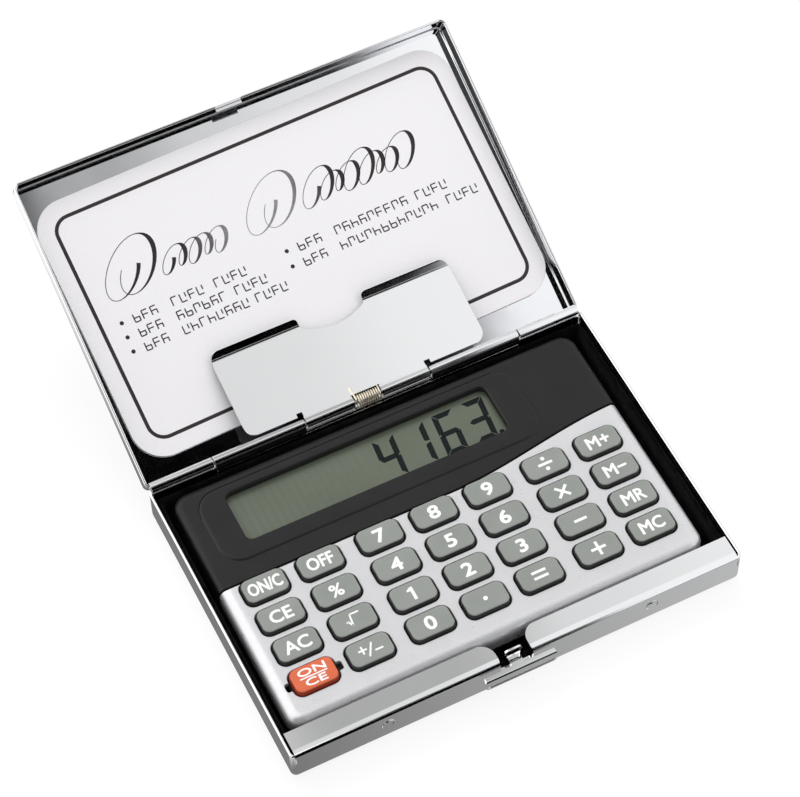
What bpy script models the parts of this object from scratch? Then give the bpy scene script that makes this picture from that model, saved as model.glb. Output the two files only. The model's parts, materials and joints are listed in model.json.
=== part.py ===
"""A pocket calculator built into a clamshell card case.

Frame: metres, +Z up, origin at the centre of the base's underside. +X runs along the hinge and the
front edge is at -Y. The case stands open at its hinge stop. Lengths below are in millimetres.
"""

import math

import bmesh
import bpy
from mathutils import Matrix, Vector

MM = 0.001
GAP = 0.3

# Case
CASE_W = 92.0
BASE_D = 63.0
BASE_FRONT = -31.5
BASE_BACK = BASE_FRONT + BASE_D - 0.15
RIM_Z = 7.85
SHEET = 0.5
CASE_CORNER = 1.2
EDGE_ROLL = 1.4
LATCH_X = -0.9
LATCH_NOTCH = 6.6
LATCH_NOTCH_Z = 5.6
LATCH_W = 15.2
LATCH_TOP = 7.0
LATCH_FOOT = 4.4
LATCH_T = 0.5
LATCH_FACE_Y = BASE_FRONT - 1.9
NECK_W = 2.4
NECK_Z = (5.75, 6.15)
HOOK_W = 3.6
HOOK_Y = (BASE_FRONT + 1.5, BASE_FRONT + 1.95)
HOOK_TOP = 8.4
HOOK_WINDOW_W = 2.2
HOOK_WINDOW_Z = (6.9, 7.9)
STUD_X = 27.0
STUD_Z = 4.9

# Velvet liner of the base
LINER_TOP = 6.2
LINER_T = 0.8
LINER_NOTCH_Z = 5.3

# Front flange of the base, split at the middle for the latch
FLANGE_DEPTH = 4.8
FLANGE_SPLIT = 6.4
FLANGE_ROUND = 3.0

# Hinge
HINGE_Y = BASE_FRONT + BASE_D
HINGE_Z = 8.0
OPEN_DEG = 155.3
BARREL_R = 1.0
BARREL_BORE_R = 0.68
PIN_R = 0.4
KNUCKLE_ENDS = (2.25, 13.2, 32.4, 45.3)
KNUCKLE_GAP = 0.15
LEAF = 0.35
LEAF_OFFSET = 0.95
LEAF_TOP = 6.2
BASE_LEAF_FOOT = 3.4
LID_LEAF_FOOT = 4.6
LEAF_END_GAP = 0.6
WEB_TOP = HINGE_Z - BARREL_R + 0.62
BORE_HALF = 47.0
WALL_TOP_CUT = 1.25
WALL_CUT_HALF = 45.6
WALL_CUT_REACH = 1.3

# Lid
LID_D = 63.8
LID_DEPTH = 4.6
LID_RIM_Z = HINGE_Z - 0.15
STRIKE_W = 6.0
STRIKE_REACH = 2.3
STRIKE_DEPTH = (0.9, 1.3)
LID_NOTCH_W = 6.6
LID_NOTCH_DEPTH = 0.7

# Card in the lid, and its retainer flap
CARD_W = 89.0
CARD_H = 54.0
CARD_T = 0.35
CARD_CORNER = 6.5
CARD_TILT_DEG = 1.4
CARD_CENTRE = 32.6
RETAINER_W = 50.8
RETAINER_ROOT = 2.2
SPRING_SLOT = 1.7
RETAINER_TIP = 17.6
RETAINER_T = 0.35
RETAINER_SLOPE_DEG = 10.0
RETAINER_CORNER = 2.4
NOTCH_HALF = 7.2
NOTCH_DEPTH = 2.2
LIP_ENDS = (7.1, 25.2)
LIP_R = 3.0
LIP_SWEEP = 48

# Torsion spring
SPRING_R = 1.2
SPRING_WIRE_R = 0.16
SPRING_TURNS = 10

# Calculator module
MOD_X = -0.6
MOD_W = 85.0
MOD_BACK = 28.3
MOD_D = 54.0
MOD_FRONT = MOD_BACK - MOD_D
MOD_CORNER = 3.2
MOD_WALL = 1.2
MOD_TOP = 7.2
MOD_WALL_FOOT = 3.2
SCREW_INSET = 2.9
BOSS_R = 1.3
BOSS_BORE_R = 0.95
BOSS_TOP = MOD_TOP - 0.8
BOSS_BORE_TOP = MOD_TOP - 1.5
COVER_Z = (2.1, 2.9)
SCREW_CLEAR_R = 1.1
DOOR_R = 6.5
DOOR_CUT_R = 6.8
SCREW_PROFILE = ((1.2, 1.5), (1.35, 1.6), (1.35, 1.8), (0.65, 1.8), (0.65, 5.2))
PAD_Z = (1.5, 1.8)
PAD_X = (MOD_X - 32.0, MOD_X + 24.0)
PAD_Y = (-18.0, 20.0)
PART_LINE_Y = 5.7
PART_LINE_RISE = 3.9
PART_LINE_X = (5.0, 42.0)
BEZEL_X = (-39.4, 27.4)
BEZEL_Y = (9.6, 26.3)
BEZEL_TOP = 7.5
WINDOW_X = (-33.6, 21.1)
WINDOW_Y = (13.2, 24.3)

# Electronics inside the module
BATTERY = (MOD_X + 33.6, 16.5)
BATTERY_R = 5.8
CELL_Z = (3.7, 5.6)
CONTACT_Z = (3.2, 3.4)
CLIP_Z = (5.8, 5.95)
BOARD_X = (MOD_X - 37.4, MOD_X + 37.4)
BOARD_Y = (-23.8, 25.6)
BOARD_STEP = (BATTERY[0] - 7.0, BATTERY[1] - 7.4)
BOARD_Z = (3.2, 3.6)
MEMBRANE_Y = (-23.6, 4.6)
MEMBRANE_Z = (3.9, 4.3)
CHIP_PLACE = (MOD_X + 26.0, 6.9)
CHIP_PROFILE = ((2.2, 3.9), (2.1, 4.1), (1.5, 4.33), (0.6, 4.42))
LCD_X = (-35.6, 23.2)
LCD_Y = (11.6, 26.0)
LCD_Z = (4.9, 5.8)
REFLECTOR_Y = (14.4, 25.0)
REFLECTOR_Z = (4.4, 4.6)
ZEBRA_X = (-32.0, 19.6)
ZEBRA_Y = (12.2, 13.8)
ZEBRA_Z = (3.9, 4.6)

# Keys
KEY_W = 8.7
KEY_H = 5.3
KEY_CORNER = 1.5
KEY_TOP = 8.1
KEY_FOOT = 5.2
KEY_SKIRT_TOP = 5.7
KEY_SKIRT = 0.35
KEY_PITCH = 11.24
KEY_GROUP_PITCH = 12.23
ROW_PITCH = 6.93
MIDDLE_COLUMN_X = -0.4
TOP_ROW_Y = 2.75
EAR_W = 11.4
EAR_H = 1.9
KEY_ROWS = (
    ("on_c", "off", "7", "8", "9", "divide", "m_plus"),
    ("ce", "percent", "4", "5", "6", "multiply", "m_minus"),
    ("ac", "root", "1", "2", "3", "minus", "mr"),
    ("reset", "sign", "0", "point", "equals", "plus", "mc"),
)

COLOURS = {
    "chrome": ((0.86, 0.87, 0.88), 0.08, 1.0),
    "velvet": ((0.008, 0.007, 0.006), 0.95, 0.0),
    "black_plastic": ((0.045, 0.043, 0.045), 0.5, 0.0),
    "silver_plastic": ((0.62, 0.62, 0.64), 0.35, 0.7),
    "key_grey": ((0.3, 0.32, 0.3), 0.5, 0.0),
    "key_red": ((0.75, 0.13, 0.05), 0.45, 0.0),
    "lcd": ((0.17, 0.2, 0.15), 0.2, 0.0),
    "steel": ((0.6, 0.58, 0.52), 0.3, 1.0),
    "spring_steel": ((0.72, 0.62, 0.45), 0.25, 1.0),
    "card": ((0.9, 0.89, 0.9), 0.6, 0.0),
    "board": ((0.05, 0.2, 0.08), 0.5, 0.0),
    "rubber": ((0.25, 0.25, 0.25), 0.8, 0.0),
    "foam": ((0.8, 0.8, 0.75), 0.9, 0.0),
    "epoxy": ((0.02, 0.02, 0.02), 0.3, 0.0),
}


# ---------------------------------------------------------------- helpers


def clear_scene():
    for obj in list(bpy.data.objects):
        bpy.data.objects.remove(obj, do_unlink=True)


def make_materials():
    for name, (colour, roughness, metallic) in COLOURS.items():
        material = bpy.data.materials.new(name)
        material.use_nodes = True
        shader = material.node_tree.nodes["Principled BSDF"]
        shader.inputs["Base Color"].default_value = (*colour, 1.0)
        shader.inputs["Roughness"].default_value = roughness
        shader.inputs["Metallic"].default_value = metallic


def rounded_rect(x0, y0, x1, y1, radius, steps=3):
    """Counter-clockwise outline; each corner has steps + 1 points."""
    points = []
    corners = ((x1, y1, 0), (x0, y1, 90), (x0, y0, 180), (x1, y0, 270))
    for x, y, start in corners:
        cx = x - radius if x == x1 else x + radius
        cy = y - radius if y == y1 else y + radius
        for i in range(steps + 1):
            angle = math.radians(start + 90 * i / steps)
            points.append((cx + radius * math.cos(angle), cy + radius * math.sin(angle)))
    return points


def circle(radius, count, cx=0.0, cy=0.0):
    turn = 2 * math.pi / count
    return [(cx + radius * math.cos(turn * i), cy + radius * math.sin(turn * i)) for i in range(count)]


def arc(cx, cy, radius, start_deg, end_deg, steps):
    points = []
    for i in range(steps + 1):
        angle = math.radians(start_deg + (end_deg - start_deg) * i / steps)
        points.append((cx + radius * math.cos(angle), cy + radius * math.sin(angle)))
    return points


def add_object(name, verts, faces, material, origin=(0.0, 0.0, 0.0)):
    """A mesh object from points in millimetres, with its origin placed at the given point."""
    shift = Vector(origin)
    mesh = bpy.data.meshes.new(name)
    mesh.from_pydata([(Vector(v) - shift) * MM for v in verts], [], faces)
    build = bmesh.new()
    build.from_mesh(mesh)
    bmesh.ops.recalc_face_normals(build, faces=build.faces)
    build.to_mesh(mesh)
    build.free()
    mesh.shade_smooth()
    mesh.set_sharp_from_angle(angle=math.radians(35))
    obj = bpy.data.objects.new(name, mesh)
    obj.location = shift * MM
    if material:
        mesh.materials.append(bpy.data.materials[material])
    bpy.context.scene.collection.objects.link(obj)
    return obj


def loft(name, rings, material, origin=(0.0, 0.0, 0.0)):
    """A closed solid through rings of equal point counts, capped at both ends."""
    count = len(rings[0])
    verts = [point for ring in rings for point in ring]
    faces = [tuple(range(count)), tuple(range(len(verts) - count, len(verts)))]
    for r in range(len(rings) - 1):
        for i in range(count):
            j = (i + 1) % count
            a = r * count
            faces.append((a + i, a + j, a + count + j, a + count + i))
    return add_object(name, verts, faces, material, origin)


def plate(name, outline, z0, z1, material, origin=(0.0, 0.0, 0.0)):
    rings = [[(x, y, z) for x, y in outline] for z in (z0, z1)]
    return loft(name, rings, material, origin)


def tray(name, box, corner, profile, material):
    """A shell from a list of (inset, z) rings of one rounded rectangle, from outer face to inner face."""
    x0, y0, x1, y1 = box
    rings = []
    for inset, z in profile:
        radius = max(corner - inset, 0.25)
        outline = rounded_rect(x0 + inset, y0 + inset, x1 - inset, y1 - inset, radius)
        rings.append([(x, y, z) for x, y in outline])
    return loft(name, rings, material)


def pressed_profile(floor, rim):
    """The (inset, z) rings of pressed sheet: outer bend, rim, then the inner bend."""
    outer_bend = arc(EDGE_ROLL, floor + EDGE_ROLL, EDGE_ROLL, 270, 180, 3)
    inner_bend = arc(EDGE_ROLL, floor + EDGE_ROLL, EDGE_ROLL - SHEET, 180, 270, 3)
    return outer_bend + [(0.0, rim), (SHEET, rim)] + inner_bend


def box(name, x0, y0, z0, x1, y1, z1, material=None):
    return plate(name, [(x0, y0), (x1, y0), (x1, y1), (x0, y1)], z0, z1, material)


def rod(name, x0, x1, radius, y, z, material, count=16):
    rings = [[(x, y + a, z + b) for a, b in circle(radius, count)] for x in (x0, x1)]
    return loft(name, rings, material)


def helper(obj):
    """Hides an object that only shapes another one."""
    obj.hide_render = True
    obj.display_type = "WIRE"
    return obj


def combine(obj, operation, others):
    for other in others:
        helper(other)
        modifier = obj.modifiers.new(operation.lower(), "BOOLEAN")
        modifier.operation = operation
        modifier.object = other
    return obj


def joined(name, pieces):
    """One helper object that holds several separate closed shapes."""
    mesh = bpy.data.meshes.new(name)
    build = bmesh.new()
    for piece in pieces:
        start = len(build.verts)
        build.from_mesh(piece.data)
        build.verts.ensure_lookup_table()
        bmesh.ops.translate(build, vec=piece.location, verts=build.verts[start:])
        bpy.data.objects.remove(piece, do_unlink=True)
    build.to_mesh(mesh)
    build.free()
    obj = bpy.data.objects.new(name, mesh)
    bpy.context.scene.collection.objects.link(obj)
    return obj


def pivot(name, angle_deg, parent=None):
    """An empty on the hinge axis, turned about it."""
    empty = bpy.data.objects.new(name, None)
    if parent:
        empty.parent = parent
    else:
        empty.location = Vector((0.0, HINGE_Y, HINGE_Z)) * MM
    empty.rotation_euler.x = math.radians(angle_deg)
    bpy.context.scene.collection.objects.link(empty)
    return empty


def hang_on(empty, objects, drawn_in_place):
    """Parents pieces to a pivot. Those drawn in place keep it while the pivot's angle is zero."""
    for obj in objects:
        obj.parent = empty
        if drawn_in_place:
            obj.matrix_parent_inverse = Matrix.Translation(Vector((0.0, -HINGE_Y, -HINGE_Z)) * MM)


# ---------------------------------------------------------------- case


def make_base_shell():
    half = CASE_W / 2
    outer = (-half, BASE_FRONT, half, BASE_BACK)
    shell = tray("base_shell", outer, CASE_CORNER, pressed_profile(0.0, RIM_Z), "chrome")
    flanges = []
    for side in (-1, 1):
        y0 = BASE_FRONT + 0.25
        y1 = BASE_FRONT + SHEET + FLANGE_DEPTH
        x_end = half - 0.25
        x_gap = FLANGE_SPLIT / 2 + side * LATCH_X
        outline = [(x_gap, y0), (x_end, y0), (x_end, y1)]
        outline += arc(x_gap + FLANGE_ROUND, y1 - FLANGE_ROUND, FLANGE_ROUND, 90, 180, 6)
        outline = [(side * x, y) for x, y in outline]
        flanges.append(plate(f"flange_{side}", outline, RIM_Z - SHEET, RIM_Z, None))
    cuts = [
        box(
            "hinge_clearance",
            -WALL_CUT_HALF,
            HINGE_Y - WALL_CUT_REACH,
            RIM_Z - WALL_TOP_CUT,
            WALL_CUT_HALF,
            HINGE_Y + 2,
            RIM_Z + 2,
        ),
        box(
            "latch_notch",
            LATCH_X - LATCH_NOTCH / 2,
            BASE_FRONT - 1,
            LATCH_NOTCH_Z,
            LATCH_X + LATCH_NOTCH / 2,
            BASE_FRONT + 0.9,
            RIM_Z + 1,
        ),
    ]
    studs = []
    for i, x in enumerate((-STUD_X, STUD_X)):
        rings = []
        for radius, depth in ((1.15, -0.2), (1.0, 0.15), (0.55, 0.35)):
            rings.append([(a, BASE_FRONT - depth, b) for a, b in circle(radius, 12, x, STUD_Z)])
        studs.append(loft(f"stud_{i}", rings, None))
    combine(shell, "UNION", flanges + studs)
    combine(shell, "DIFFERENCE", cuts)


def make_base_liner():
    inner = SHEET + GAP
    half = CASE_W / 2 - inner
    outer = (-half, BASE_FRONT + inner, half, BASE_BACK - SHEET - 0.95)
    profile = [(0.9, 0.8), (0.0, 1.8), (0.0, LINER_TOP), (LINER_T, LINER_TOP), (LINER_T, 1.2)]
    liner = tray("base_liner", outer, 0.9, profile, "velvet")
    half = HOOK_W / 2 + GAP
    front = BASE_FRONT + inner
    y_back = front + LINER_T + GAP
    x0 = LATCH_X - half
    x1 = LATCH_X + half
    notch = box("liner_notch", x0, front - GAP, LINER_NOTCH_Z, x1, y_back, LINER_TOP + 1)
    combine(liner, "DIFFERENCE", [notch])


def hinge_leaf(name, spans, strip, material="chrome"):
    """A leaf with rolled knuckles. Spans are their X ranges; strip is the leaf's box, drawn upright."""
    x0, x1, y0, y1, z0, z1 = strip
    leaf = box(name, x0, y0, z0, x1, y1, z1, material)
    pieces = []
    for i, (a, b) in enumerate(spans):
        knuckle = rod(f"{name}_knuckle_{i}", a, b, BARREL_R, HINGE_Y, HINGE_Z, None)
        web = box(f"{name}_web_{i}", a + 0.1, y0, z1 - 0.2, b - 0.1, y1, WEB_TOP)
        pieces += [web, knuckle]
    bore = rod(f"{name}_bore", -BORE_HALF, BORE_HALF, BARREL_BORE_R, HINGE_Y, HINGE_Z, None)
    combine(leaf, "UNION", pieces)
    combine(leaf, "DIFFERENCE", [bore])
    return leaf


def make_hinge():
    flap_end, base_end, end = KNUCKLE_ENDS[1:]
    inner_spans = []
    outer_spans = []
    for side in (-1, 1):
        inner = sorted((side * (flap_end + KNUCKLE_GAP), side * (base_end - KNUCKLE_GAP)))
        outer = sorted((side * (base_end + KNUCKLE_GAP), side * end))
        inner_spans.append(tuple(inner))
        outer_spans.append(tuple(outer))
    y = HINGE_Y - LEAF_OFFSET
    half = base_end - 0.4
    strip = (-half, half, y - LEAF / 2, y + LEAF / 2, BASE_LEAF_FOOT, LEAF_TOP)
    hinge_leaf("base_hinge_leaf", inner_spans, strip)
    lid_leaf = make_lid_leaf(outer_spans)
    rod("hinge_pin", -end - 0.2, end + 0.2, PIN_R, HINGE_Y, HINGE_Z, "steel", 12)
    return lid_leaf


def make_lid_leaf(spans):
    """Drawn in the lid's flat-open position: the strip hangs below the barrel on the lid's side."""
    y0 = HINGE_Y + LEAF_OFFSET - LEAF / 2
    y1 = HINGE_Y + LEAF_OFFSET + LEAF / 2
    end = KNUCKLE_ENDS[3] - LEAF_END_GAP
    strip = box("lid_hinge_leaf", -end, y0, LID_LEAF_FOOT, end, y1, LEAF_TOP, "chrome")
    pieces = []
    for i, (a, b) in enumerate(spans):
        knuckle = rod(f"lid_knuckle_{i}", a, b, BARREL_R, HINGE_Y, HINGE_Z, None)
        web_a = max(a, -end) + 0.1
        web_b = min(b, end) - 0.1
        web = box(f"lid_web_{i}", web_a, y0, LEAF_TOP - 0.2, web_b, y1, WEB_TOP)
        pieces += [web, knuckle]
    bore = rod("lid_bore", -BORE_HALF, BORE_HALF, BARREL_BORE_R, HINGE_Y, HINGE_Z, None)
    combine(strip, "UNION", pieces)
    combine(strip, "DIFFERENCE", [bore])
    return [strip, bore, *pieces]


def make_lid_shell():
    """Drawn flat open: rim up, inside up, the front edge furthest from the hinge."""
    half = CASE_W / 2
    rim = LID_RIM_Z
    outer = (-half, HINGE_Y + 0.15, half, HINGE_Y + LID_D)
    shell = tray("lid_shell", outer, CASE_CORNER, pressed_profile(rim - LID_DEPTH, rim), "chrome")
    clearance = box(
        "lid_clearance",
        -WALL_CUT_HALF,
        HINGE_Y - 1,
        rim - WALL_TOP_CUT,
        WALL_CUT_HALF,
        HINGE_Y + WALL_CUT_REACH,
        rim + 2,
    )
    front = HINGE_Y + LID_D
    x0 = LATCH_X - STRIKE_W / 2
    x1 = LATCH_X + STRIKE_W / 2
    high, low = STRIKE_DEPTH
    strike = box("strike_lip", x0, front - STRIKE_REACH, rim - low, x1, front - 0.25, rim - high)
    x0 = LATCH_X - LID_NOTCH_W / 2
    x1 = LATCH_X + LID_NOTCH_W / 2
    notch = box("lid_notch", x0, front - 0.8, rim - LID_NOTCH_DEPTH, x1, front + 1, rim + 1)
    combine(shell, "UNION", [strike])
    combine(shell, "DIFFERENCE", [clearance, notch])
    return [shell, strike, clearance, notch]


def make_card():
    floor = LID_RIM_Z - LID_DEPTH + SHEET
    half_w = CARD_W / 2
    half_h = CARD_H / 2
    outline = rounded_rect(-half_w, -half_h, half_w, half_h, CARD_CORNER, 6)
    card = plate("info_card", outline, 0.0, CARD_T, "card")
    card.location = Vector((0.0, HINGE_Y + CARD_CENTRE, floor + GAP)) * MM
    card.rotation_euler.z = math.radians(CARD_TILT_DEG)
    return card


def retainer_outline():
    """The flap's outline in its own plane, from the barrel outwards, with a thumb notch in the free edge."""
    half = RETAINER_W / 2
    r = RETAINER_CORNER
    root = RETAINER_ROOT
    tip = RETAINER_TIP
    neck = KNUCKLE_ENDS[1] - KNUCKLE_GAP - 0.1
    right = [(neck, 0.0), (neck, root)]
    right += arc(half - r, root + r, r, -90, 0, 4)
    right += arc(half - 0.9, tip - 0.9, 0.9, 0, 90, 3)
    right += [(NOTCH_HALF + 1.4, tip)]
    steps = 8
    dip = []
    for i in range(2 * steps + 1):
        t = 1 - i / steps
        dip.append((NOTCH_HALF * t, tip - NOTCH_DEPTH * math.cos(t * math.pi / 2) ** 0.75))
    left = [(-x, y) for x, y in reversed(right)]
    return right + dip[1:-1] + left


def make_retainer():
    """The card retainer: a thin flap with two curled lead-in lips, on two knuckles beside the spring."""
    outline = retainer_outline()
    top = BARREL_R - RETAINER_T
    flap = plate("card_retainer", [(x, y) for x, y in outline], top, top + RETAINER_T, "chrome")
    centre = (RETAINER_TIP - 0.3, top + LIP_R)
    profile = arc(*centre, LIP_R - 0.03, -90, LIP_SWEEP - 90, 6)
    profile += arc(*centre, LIP_R - RETAINER_T + 0.03, LIP_SWEEP - 90, -90, 6)
    lips = []
    for i, side in enumerate((-1, 1)):
        rings = [[(side * x, y, z) for y, z in profile] for x in LIP_ENDS]
        lips.append(loft(f"lip_{i}", rings, None))
    knuckles = []
    for i, side in enumerate((-1, 1)):
        ends = sorted((side * (KNUCKLE_ENDS[0] + KNUCKLE_GAP), side * (KNUCKLE_ENDS[1] - KNUCKLE_GAP)))
        knuckles.append(rod(f"retainer_knuckle_{i}", *ends, BARREL_R, 0, 0, None))
    slot_half = KNUCKLE_ENDS[0] + 2 * KNUCKLE_GAP
    slot = box("spring_slot", -slot_half, -3, -3, slot_half, SPRING_SLOT, 3)
    bore = rod("retainer_bore", -20, 20, BARREL_BORE_R, 0, 0, None)
    combine(flap, "UNION", lips)
    combine(flap, "DIFFERENCE", [slot])
    combine(flap, "UNION", knuckles)
    combine(flap, "DIFFERENCE", [bore])
    return [flap, slot, bore, *lips, *knuckles]


def make_spring():
    """A close-wound torsion spring round the pin: one leg on the flap, one towards the lid's floor."""
    length = 2 * KNUCKLE_ENDS[0] - 0.7
    segments = 12
    path = []
    flap_slope = math.radians(-RETAINER_SLOPE_DEG)
    leg_dir = (math.cos(flap_slope), math.sin(flap_slope))
    total = SPRING_TURNS * segments
    for i in range(total + 1):
        angle = math.pi / 2 + flap_slope - 2 * math.pi * i / segments
        x = -length / 2 + length * i / total
        path.append(Vector((x, SPRING_R * math.cos(angle), SPRING_R * math.sin(angle))))
    first, last = path[0], path[-1]
    lead = []
    for sideways, far in ((-0.25, 3.6), (-0.1, 1.0)):
        lead.append(first + Vector((sideways, leg_dir[0] * far, leg_dir[1] * far)))
    tail = [last + Vector((0.1, 1.0, -0.6)), last + Vector((0.2, 2.4, -2.2))]
    path = lead + path + tail
    count = 6
    rings = []
    previous = Vector((1, 0, 0))
    for i, point in enumerate(path):
        ahead = path[min(i + 1, len(path) - 1)] - path[max(i - 1, 0)]
        tangent = ahead.normalized()
        side = (previous - tangent * previous.dot(tangent)).normalized()
        up = tangent.cross(side)
        previous = side
        ring = []
        for a, b in circle(SPRING_WIRE_R, count):
            p = point + side * a + up * b
            ring.append((p.x, p.y + HINGE_Y, p.z + HINGE_Z))
        rings.append(ring)
    return loft("retainer_spring", rings, "spring_steel", (0.0, HINGE_Y, HINGE_Z))


def make_latch():
    """The push button: a top face, a turned-down front face, and a neck with the catch hook."""
    x = LATCH_X
    half = LATCH_W / 2
    front = LATCH_FACE_Y
    outline = rounded_rect(x - half, front, x + half, BASE_FRONT - 0.75, 0.5, 3)
    origin = (x, BASE_FRONT, LATCH_TOP - 0.25)
    tab = plate("latch_tab", outline, LATCH_TOP - LATCH_T, LATCH_TOP, "chrome", origin)
    apron_outline = rounded_rect(x - half, LATCH_FOOT, x + half, LATCH_TOP - 0.1, 1.0, 3)
    rings = [[(a, y, z) for a, z in apron_outline] for y in (front, front + LATCH_T)]
    apron = loft("latch_apron", rings, None)
    half = NECK_W / 2
    neck = box("latch_neck", x - half, front + 0.2, NECK_Z[0], x + half, HOOK_Y[1] + 0.05, NECK_Z[1])
    half = HOOK_W / 2
    hook = box("latch_hook", x - half, HOOK_Y[0], NECK_Z[0] + 0.05, x + half, HOOK_Y[1], HOOK_TOP)
    half = HOOK_WINDOW_W / 2
    low, high = HOOK_WINDOW_Z
    window = box("hook_window", x - half, BASE_FRONT + 1, low, x + half, BASE_FRONT + 2.6, high)
    combine(tab, "UNION", [apron, neck, hook])
    combine(tab, "DIFFERENCE", [window])


# ---------------------------------------------------------------- module


def part_line(x):
    """Y of the line between the black housing and the silver keypad plate: straight, then rising in an S."""
    start, end = PART_LINE_X
    t = min(max((x - start) / (end - start), 0.0), 1.0)
    return PART_LINE_Y + PART_LINE_RISE * t * t * (3 - 2 * t)


def module_box(inset=0.0):
    half = MOD_W / 2 - inset
    return (MOD_X - half, MOD_FRONT + inset, MOD_X + half, MOD_BACK - inset)


def module_region(name, offset, far_y):
    """A prism over the module on one side of the part line."""
    x0, x1 = MOD_X - MOD_W, MOD_X + MOD_W
    xs = [x0] + [PART_LINE_X[0] + (PART_LINE_X[1] - PART_LINE_X[0]) * i / 10 for i in range(11)] + [x1]
    outline = [(x, part_line(x) + offset) for x in xs] + [(x1, far_y), (x0, far_y)]
    return plate(name, outline, -5, 20, None)


def module_cap(name, material):
    profile = [
        (2.2, MOD_TOP),
        (1.1, MOD_TOP - 0.15),
        (0.35, MOD_TOP - 0.6),
        (0.0, MOD_TOP - 1.5),
        (0.0, MOD_WALL_FOOT),
        (MOD_WALL, MOD_WALL_FOOT),
        (MOD_WALL, MOD_TOP - 1.1),
    ]
    return tray(name, module_box(), MOD_CORNER, profile, material)


def screw_places():
    x0, y0, x1, y1 = module_box(SCREW_INSET)
    return [(x0, y0), (x1, y0), (x0, y1), (x1, y1)]


def bosses(name, places):
    pieces = []
    for i, (x, y) in enumerate(places):
        pieces.append(plate(f"{name}_{i}", circle(BOSS_R, 12, x, y), MOD_WALL_FOOT, BOSS_TOP, None))
    return joined(name, pieces)


def boss_holes(name, places):
    pieces = []
    for i, (x, y) in enumerate(places):
        hole = plate(f"{name}_{i}", circle(BOSS_BORE_R, 12, x, y), MOD_WALL_FOOT - 1, BOSS_BORE_TOP, None)
        pieces.append(hole)
    return joined(name, pieces)


def make_upper_housing():
    housing = module_cap("upper_housing", "black_plastic")
    combine(housing, "INTERSECT", [module_region("upper_region", 0.15, MOD_BACK + 5)])
    frame = plate(
        "bezel_frame",
        rounded_rect(BEZEL_X[0], BEZEL_Y[0], BEZEL_X[1], BEZEL_Y[1], 4.0, 5),
        MOD_TOP - 0.4,
        BEZEL_TOP,
        None,
    )
    window = plate(
        "window_cut",
        rounded_rect(WINDOW_X[0], WINDOW_Y[0], WINDOW_X[1], WINDOW_Y[1], 1.4),
        MOD_TOP - 4,
        MOD_TOP + 4,
        None,
    )
    places = screw_places()[2:]
    combine(housing, "UNION", [frame, bosses("upper_bosses", places)])
    combine(housing, "DIFFERENCE", [window, boss_holes("upper_boss_holes", places)])


def column_x():
    offsets = (
        -2 * KEY_PITCH - KEY_GROUP_PITCH,
        -KEY_PITCH - KEY_GROUP_PITCH,
        -KEY_PITCH,
        0.0,
        KEY_PITCH,
        KEY_PITCH + KEY_GROUP_PITCH,
        2 * KEY_PITCH + KEY_GROUP_PITCH,
    )
    return [MIDDLE_COLUMN_X + offset for offset in offsets]


def key_places():
    """Each key's name and centre."""
    places = []
    for r, row in enumerate(KEY_ROWS):
        for x, name in zip(column_x(), row):
            places.append((name, x, TOP_ROW_Y - ROW_PITCH * r))
    return places


def make_keypad_plate():
    keypad = module_cap("keypad_plate", "silver_plastic")
    combine(keypad, "INTERSECT", [module_region("keypad_region", -0.15, MOD_FRONT - 5)])
    places = screw_places()[:2]
    holes = []
    half_w = KEY_W / 2 + GAP
    half_h = KEY_H / 2 + GAP
    for name, x, y in key_places():
        outline = rounded_rect(x - half_w, y - half_h, x + half_w, y + half_h, KEY_CORNER + GAP)
        holes.append(plate(f"hole_{name}", outline, MOD_TOP - 3, MOD_TOP + 2, None))
        if name == "reset":
            x0 = x - EAR_W / 2
            y0 = y - EAR_H / 2
            ear = box("ear", x0, y0, MOD_TOP - 3.1, x0 + EAR_W, y0 + EAR_H, MOD_TOP + 2.1)
    combine(keypad, "UNION", [bosses("lower_bosses", places)])
    combine(keypad, "DIFFERENCE", [joined("key_holes", holes), ear, boss_holes("lower_boss_holes", places)])


def make_keys():
    """Each key has a cap with a soft top edge and a skirt that keeps it under the plate."""
    for name, x, y in key_places():
        material = "key_red" if name == "reset" else "key_grey"
        steps = (
            (-KEY_SKIRT, KEY_FOOT),
            (-KEY_SKIRT, KEY_SKIRT_TOP),
            (0.0, KEY_SKIRT_TOP),
            (0.0, KEY_TOP - 0.55),
            (0.15, KEY_TOP - 0.2),
            (0.55, KEY_TOP),
        )
        rings = []
        for inset, z in steps:
            half_w = KEY_W / 2 - inset
            half_h = KEY_H / 2 - inset
            outline = rounded_rect(x - half_w, y - half_h, x + half_w, y + half_h, KEY_CORNER - inset)
            rings.append([(a, b, z) for a, b in outline])
        loft(f"key_{name}", rings, material, (x, y, KEY_TOP))


def make_rear_cover():
    x0, y0, x1, y1 = module_box()
    cover = plate("rear_cover", rounded_rect(x0, y0, x1, y1, MOD_CORNER), *COVER_Z, "black_plastic")
    cuts = []
    for i, (x, y) in enumerate(screw_places()):
        cuts.append(plate(f"screw_clear_{i}", circle(SCREW_CLEAR_R, 12, x, y), 1, 4, None))
    cuts.append(plate("door_cut", circle(DOOR_CUT_R, 24, *BATTERY), 1, 4, None))
    combine(cover, "DIFFERENCE", [joined("cover_cuts", cuts)])
    plate("battery_door", circle(DOOR_R, 24, *BATTERY), *COVER_Z, "black_plastic")


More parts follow.
